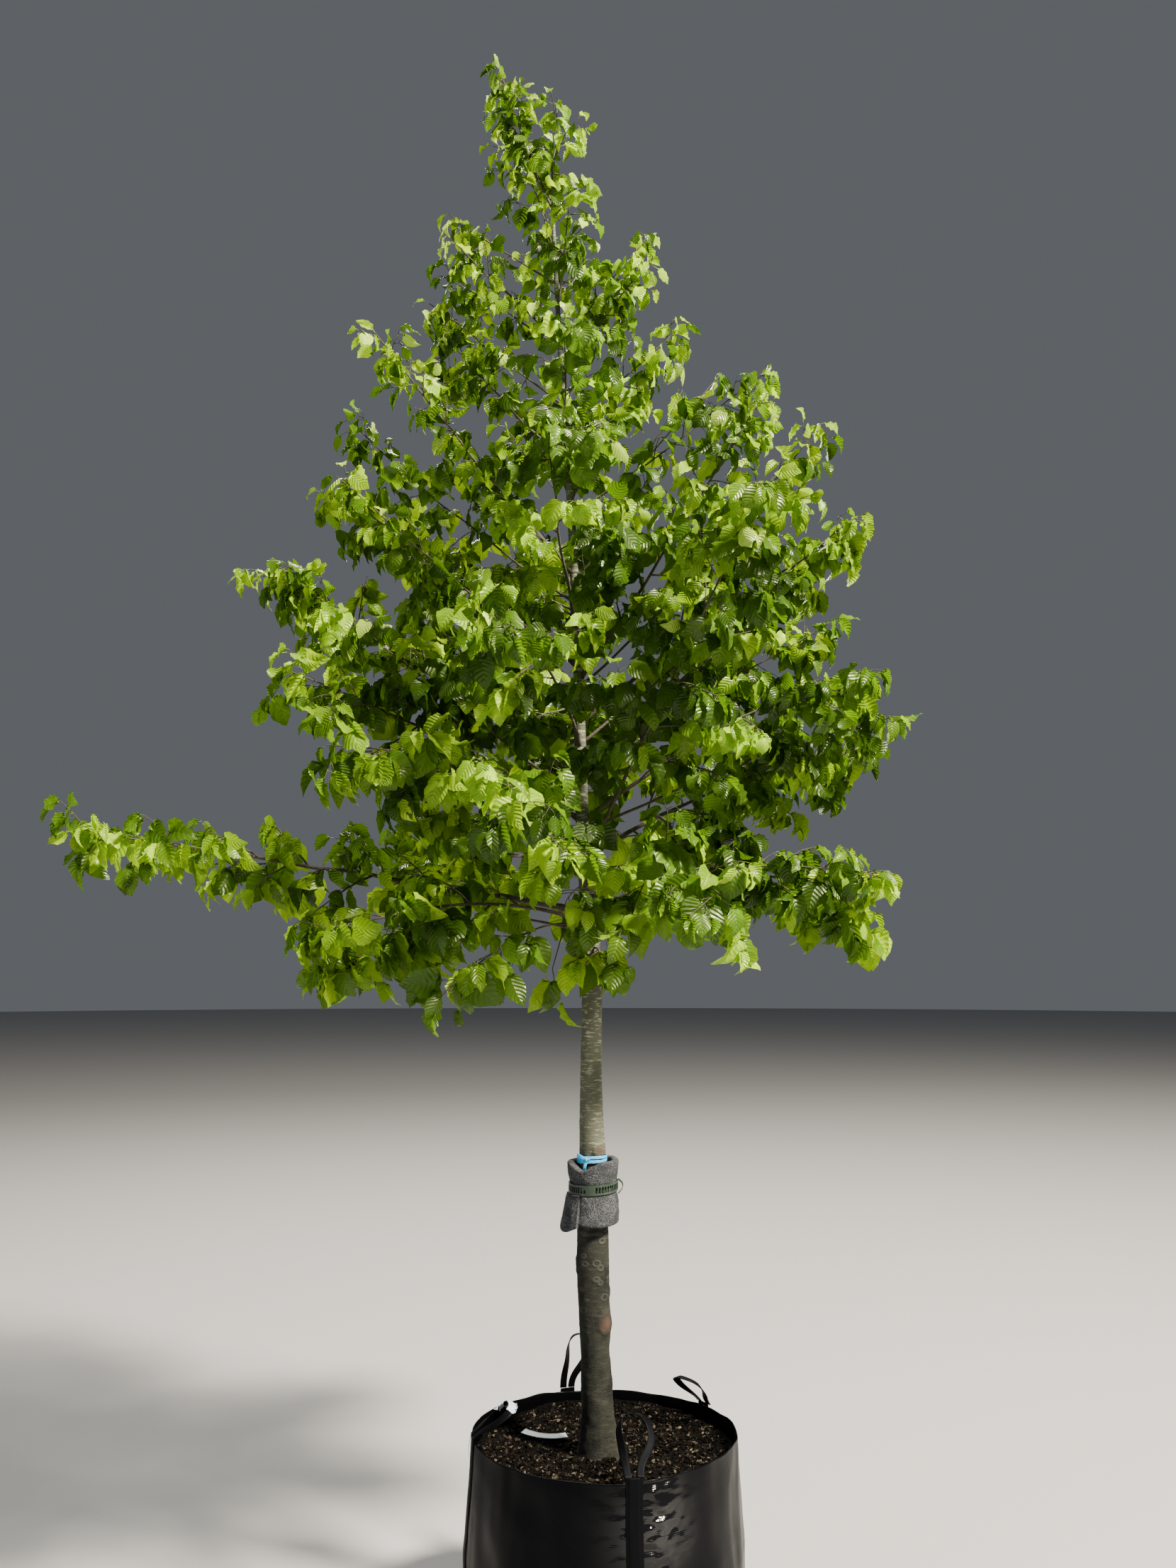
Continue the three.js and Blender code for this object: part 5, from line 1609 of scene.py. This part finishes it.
class SAPLING_OT_collar(bpy.types.Operator):
    """Makes the foam collar, the ladder belt that holds it, and the ribbon above it"""

    bl_idname = "sapling.collar"
    bl_label = "Collar, belt and ribbon"

    def foam_mesh(self):
        """The wrapped sheet, and the corner of it that hangs loose at the left."""
        headings = np.arange(COLLAR_COLUMNS) * 360 / COLLAR_COLUMNS
        dip = sum(deep * hump(turn_between(headings, at), wide) for deep, at, wide in DIPS)
        high = COLLAR_TOP + 5 - dip + 2 * np.sin(np.radians(3 * headings))
        low = COLLAR_FOOT + 3 * np.sin(np.radians(2 * headings + 60))
        sheet = foam_sheet(headings, low, high, collar_faces, True)
        sag = 16 * np.sin(np.radians(np.linspace(20, 160, FLAP_COLUMNS))) ** 2 - 4
        low = COLLAR_FOOT - 4 - sag
        high = np.full(FLAP_COLUMNS, BELT_LOW - 5.0)
        headings = np.linspace(*FLAP_SPAN, FLAP_COLUMNS)
        flap = foam_sheet(headings, low, high, flap_faces, False)
        return merge([sheet, flap])

    def belt_mesh(self, rungs):
        """The ladder belt, a little askew on the foam, with its loose end."""
        steps = rungs * RUNG
        turn = np.arange(steps) * 360 / steps
        tilt = 4 * np.sin(np.radians(turn + 40))
        wave = collar_relief(round_collar(turn, COLLAR_RADIUS - 3.4, BELT_LOW + 11)) * 0.5
        layers = [COLLAR_RADIUS - 3.6 + wave + out for out in (0.0, BELT_THICKNESS)]
        grid = [[round_collar(turn, r, edge + tilt) for edge in BELT_EDGES] for r in layers]
        heading, half = PLAIN_BELT
        kept = np.ones((3, steps), bool)
        kept[1] = (np.arange(steps) % RUNG == 0) | (turn_between(turn, heading) < half)
        faces = ladder_faces(kept, np.arange(8 * steps).reshape(2, 4, steps))
        t = np.linspace(0, 1, 26)
        bow = np.sin(t * np.pi)
        path = round_collar(
            TAIL_HEADING + 10 * bow, COLLAR_RADIUS + 1 + 11 * bow, BELT_HIGH + 6 - 34 * t
        )
        facing = np.tile(heading_vector(TAIL_HEADING), (len(t), 1))
        return merge([(grid, faces), strap_mesh(path, facing, 0.005, 0.002)])

    def ribbon_mesh(self):
        """Turns of ribbon round the trunk, their knot, and its ends."""
        turns = np.linspace(0, 360, 97)
        strips = []
        for up, off, phase in RIBBON_TURNS:
            height = RIBBON_LOW + up + 2.2 * np.sin(np.radians(turns + 40 * phase))
            path = round_trunk(height, turns, trunk_radius(height, turns) + 3.2 + off)
            strips.append(strap_mesh(path, heading_vector(turns), 0.007, RIBBON_THICKNESS))
        out = heading_vector(250)
        knot = trunk_axis(RIBBON_LOW + 6) + out * (along(TRUNK, RIBBON_LOW + 6, 2) / 2 + 6) * MM
        sideways = np.cross(UP, out)
        t = np.linspace(0, 1, 16)[:, None]
        for side, rise, length, width in RIBBON_ENDS:
            way = unit(sideways * side + UP * rise)
            curl = out * 0.004 * np.sin(t * 3.3) - UP * 0.004 * t * t
            facing = out + way * 0.4 * np.sin(t * 5)
            path = knot + way * length * t + curl
            strips.append(strap_mesh(path, facing, width, RIBBON_THICKNESS))
        t = np.linspace(0, 1, 15)
        ball = knot + sideways * ((t - 0.5) * 0.013)[:, None]
        strips.append(tube(ball, 0.0052 * np.sin(np.pi * np.clip(t, 0.06, 0.94)) + 0.0012, 12))
        return merge(strips)

    def execute(self, context):
        settings = context.scene.sapling_collar
        points, faces, _ = self.foam_mesh()
        grey = foam("polyethylene_foam", settings.foam, "#5D6063", "#17191B")
        collar = add_piece("collar_foam", points, faces, grey)
        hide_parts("collar")
        points, faces, _ = self.belt_mesh(settings.rungs)
        green = soft_plastic("belt_plastic", settings.belt, "#2C3D2B", 0.42, 14)
        belt = add_piece("belt_ladder", points, faces, green, smooth=False)
        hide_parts("belt")
        points, faces, _ = self.ribbon_mesh()
        blue = soft_plastic("ribbon_plastic", settings.ribbon, "#5CC0EA", 0.36, 6)
        ribbon = add_piece("ribbon_knotted", points, faces, blue)
        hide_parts("ribbon")
        return {"FINISHED"}


# The strip on the soil: its middle in metres, length, turn, width and thickness
STRIP_PLACE = (-0.152, 0.095, 0.4645)
STRIP_LENGTH = 0.112
STRIP_TURN = -6
STRIP_SECTION = (0.02, 0.0009)
# The tape's two windings: from and to which share of the loop, and how often round
WINDINGS = ((0.36, 0.56, 3.5), (0.66, 0.76, 1.5))
OVER_RIM = 187
LABEL_THICKNESS = 0.0008


class SAPLING_OT_labels(bpy.types.Operator):
    """Makes the blank white strip on the soil, the tape on the left loop, and a hanging tag"""

    bl_idname = "sapling.labels"
    bl_label = "Blank labels"

    def strip_mesh(self):
        """The strip on the soil, a little curled."""
        t = np.linspace(0, 1, 40)[:, None]
        x = (t - 0.5) * STRIP_LENGTH
        bow = 0.016 * (x / (STRIP_LENGTH / 2)) ** 2
        path = np.concatenate((x, bow, 0.0015 + 0.006 * (1 - t) ** 2), axis=1)
        turn = math.radians(STRIP_TURN)
        spin = np.array(((math.cos(turn), -math.sin(turn)), (math.sin(turn), math.cos(turn))))
        path[:, :2] = path[:, :2] @ spin.T
        facing = np.tile(UP + np.array((0, -0.25, 0)), (len(t), 1))
        return strap_mesh(path + np.array(STRIP_PLACE), facing, *STRIP_SECTION)

    def tape_mesh(self):
        """The tape that is wound round the left loop."""
        line, facing = loop_strap(2)
        ahead = unit(np.gradient(line, axis=0))
        facing = square_to(ahead, facing)
        broad = np.cross(ahead, facing)
        strips = []
        for first, last, winds in WINDINGS:
            place = np.linspace(first, last, int(40 * winds)) * (len(line) - 1)
            low = np.floor(place).astype(int)
            share = (place - low)[:, None]
            middle, wide, flat = (
                row[low] + (row[low + 1] - row[low]) * share for row in (line, broad, facing)
            )
            wind = np.linspace(0, 2 * np.pi * winds, len(place))[:, None]
            out = wide * np.cos(wind) * (STRAP_WIDTH / 2 + 0.8) * MM
            path = middle + out + flat * np.sin(wind) * 0.0026
            face = wide * np.cos(wind) * 0.4 + flat * np.sin(wind)
            strips.append(strap_mesh(path, face, 0.014, LABEL_THICKNESS))
        return merge(strips)

    def loose_mesh(self):
        """The strip over the left rim, and the small tag on its thread."""
        t = np.linspace(0, 1, 20)
        headings = np.full(len(t), float(OVER_RIM))
        level = rim_height(OVER_RIM) + 3 - 48 * t
        out = bag_wall(headings, level) + 1.5 + 5 * np.sin(t * 2.6)
        path = ring_points(headings + 2 * t, out, level)
        over = strap_mesh(path, heading_vector(headings + 2 * t), 0.008, LABEL_THICKNESS)
        way = np.array((0.045, 0.0, -0.072))
        hang = np.array((-0.236, -0.112, 1.782)) + way * t[:, None]
        hang[:, 1] -= 0.006 * np.sin(t * 5)
        facing = np.tile((0.25, -1.0, 0.1), (len(t), 1))
        tag = strap_mesh(hang, facing, 0.013, LABEL_THICKNESS)
        thread = tube([(-0.238, -0.1, 1.803), hang[0]], (0.0006, 0.0006), 4)
        return merge([over, tag, thread])

    def execute(self, context):
        # White plastic labels; their grey-blue tone is painted shade.
        white = soft_plastic("label_plastic", "#9DABB4", "#BECAD1", 0.48, 22)
        points, faces, _ = self.strip_mesh()
        piece = add_piece("label_on_soil", points, faces, white)
        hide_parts("label_strip")
        points, faces, _ = self.tape_mesh()
        piece = add_piece("tape_on_loop", points, faces, white)
        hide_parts("label_tape")
        points, faces, _ = self.loose_mesh()
        piece = add_piece("loose_labels", points, faces, white)
        return {"FINISHED"}


# Stage

PHOTO = (1659, 2212)
FOCAL_PX = 1661
PITCH = 9.3
SENSOR = 36
AIM = np.array((0, 0, 2.2))
FLOOR_RADII = (10, 60000)


class StageSettings(bpy.types.PropertyGroup):
    key: FloatProperty(name="Key light", description="Power of the key light", default=10400)
    rim: FloatProperty(name="Back light", description="Power of the light behind", default=1050)
    fill: FloatProperty(name="Fill", description="Strength of the room's light", default=0.16)


class SAPLING_OT_stage(bpy.types.Operator):
    """Sets up the floor, the studio lights and the camera"""

    bl_idname = "sapling.stage"
    bl_label = "Stage"

    def add_floor(self):
        """A wide round floor just under the bag."""
        material, tree = start_material("pale_floor")
        pale = {"Base Color": linear("#9A9B9C"), "Roughness": 0.9}
        finish_material(material, add(tree, "BsdfPrincipled", pale).outputs[0])
        turns = np.arange(64) * 360 / 64
        rings = [ring_points(turns, radius, -1) for radius in FLOOR_RADII]
        floor = add_piece("floor", rings, grid_faces(2, 64, True)[:, ::-1], material)

    def add_room(self, scene, strength):
        """Even light from all round."""
        world = bpy.data.worlds.new("studio")
        world.use_nodes = True
        world.node_tree.nodes.clear()
        light = {"Color": linear("#DDE4EC"), "Strength": strength}
        sky = add(world.node_tree, "Background", light)
        add(world.node_tree, "OutputWorld", {"Surface": sky.outputs[0]})
        scene.world = world

    def add_lamp(self, scene, name, place, size, power, colour):
        """A round lamp that is aimed at the middle of the tree."""
        light = bpy.data.lights.new(name, "AREA")
        light.shape = "DISK"
        light.size = size
        light.energy = power
        light.color = linear(colour)[:3]
        lamp = bpy.data.objects.new(name, light)
        lamp.location = place
        aim = AIM - np.array(place)
        pitch = math.atan2(aim[2], math.hypot(aim[0], aim[1]))
        yaw = math.atan2(aim[1], aim[0])
        lamp.rotation_euler = (math.pi / 2 + pitch, 0, yaw - math.pi / 2)
        scene.collection.objects.link(lamp)

    def execute(self, context):
        settings = context.scene.sapling_stage
        scene = context.scene
        self.add_floor()
        self.add_room(scene, settings.fill)
        for lamp in (
            ("key_light", (6.8, -5.0, 10.5), 1.8, settings.key, "#FFF3E0"),
            ("back_light", (-1.5, 6.0, 8.5), 3.0, settings.rim, "#FFF8EA"),
            ("side_light", (-5.5, -4.5, 3.4), 4.0, 120, "#EAF1FF"),
        ):
            self.add_lamp(scene, *lamp)
        lens = bpy.data.cameras.new("camera")
        lens.sensor_width = SENSOR
        lens.lens = SENSOR * FOCAL_PX / max(PHOTO)
        lens.clip_end = 200
        camera = bpy.data.objects.new("camera", lens)
        camera.location = EYE
        camera.rotation_euler = (math.radians(90 + PITCH), 0, 0)
        scene.collection.objects.link(camera)
        scene.camera = camera
        return {"FINISHED"}


STEPS = (
    SAPLING_OT_stage,
    SAPLING_OT_trunk,
    SAPLING_OT_crown,
    SAPLING_OT_bag,
    SAPLING_OT_handles,
    SAPLING_OT_soil,
    SAPLING_OT_collar,
    SAPLING_OT_labels,
)
SETTINGS = {
    "sapling_trunk": TrunkSettings,
    "sapling_crown": CrownSettings,
    "sapling_bag": BagSettings,
    "sapling_collar": CollarSettings,
    "sapling_stage": StageSettings,
}


class SAPLING_PT_panel(bpy.types.Panel):
    """Lists the pieces of the tree and their settings"""

    bl_idname = "SAPLING_PT_panel"
    bl_label = "Sapling"
    bl_space_type = "VIEW_3D"
    bl_region_type = "UI"
    bl_category = "Sapling"

    def draw(self, context):
        for name, group in SETTINGS.items():
            box = self.layout.box()
            for prop in group.__annotations__:
                box.prop(getattr(context.scene, name), prop)
        for step in STEPS:
            self.layout.operator(step.bl_idname)


def register():
    for group in SETTINGS.values():
        bpy.utils.register_class(group)
    for cls in (*STEPS, SAPLING_PT_panel):
        bpy.utils.register_class(cls)
    for name, group in SETTINGS.items():
        setattr(bpy.types.Scene, name, PointerProperty(type=group))


def unregister():
    for name in SETTINGS:
        delattr(bpy.types.Scene, name)
    for cls in (SAPLING_PT_panel, *reversed(STEPS), *reversed(SETTINGS.values())):
        bpy.utils.unregister_class(cls)


def main():
    register()
    for step in STEPS:
        area, name = step.bl_idname.split(".")
        getattr(getattr(bpy.ops, area), name)()


if __name__ == "__main__":
    main()
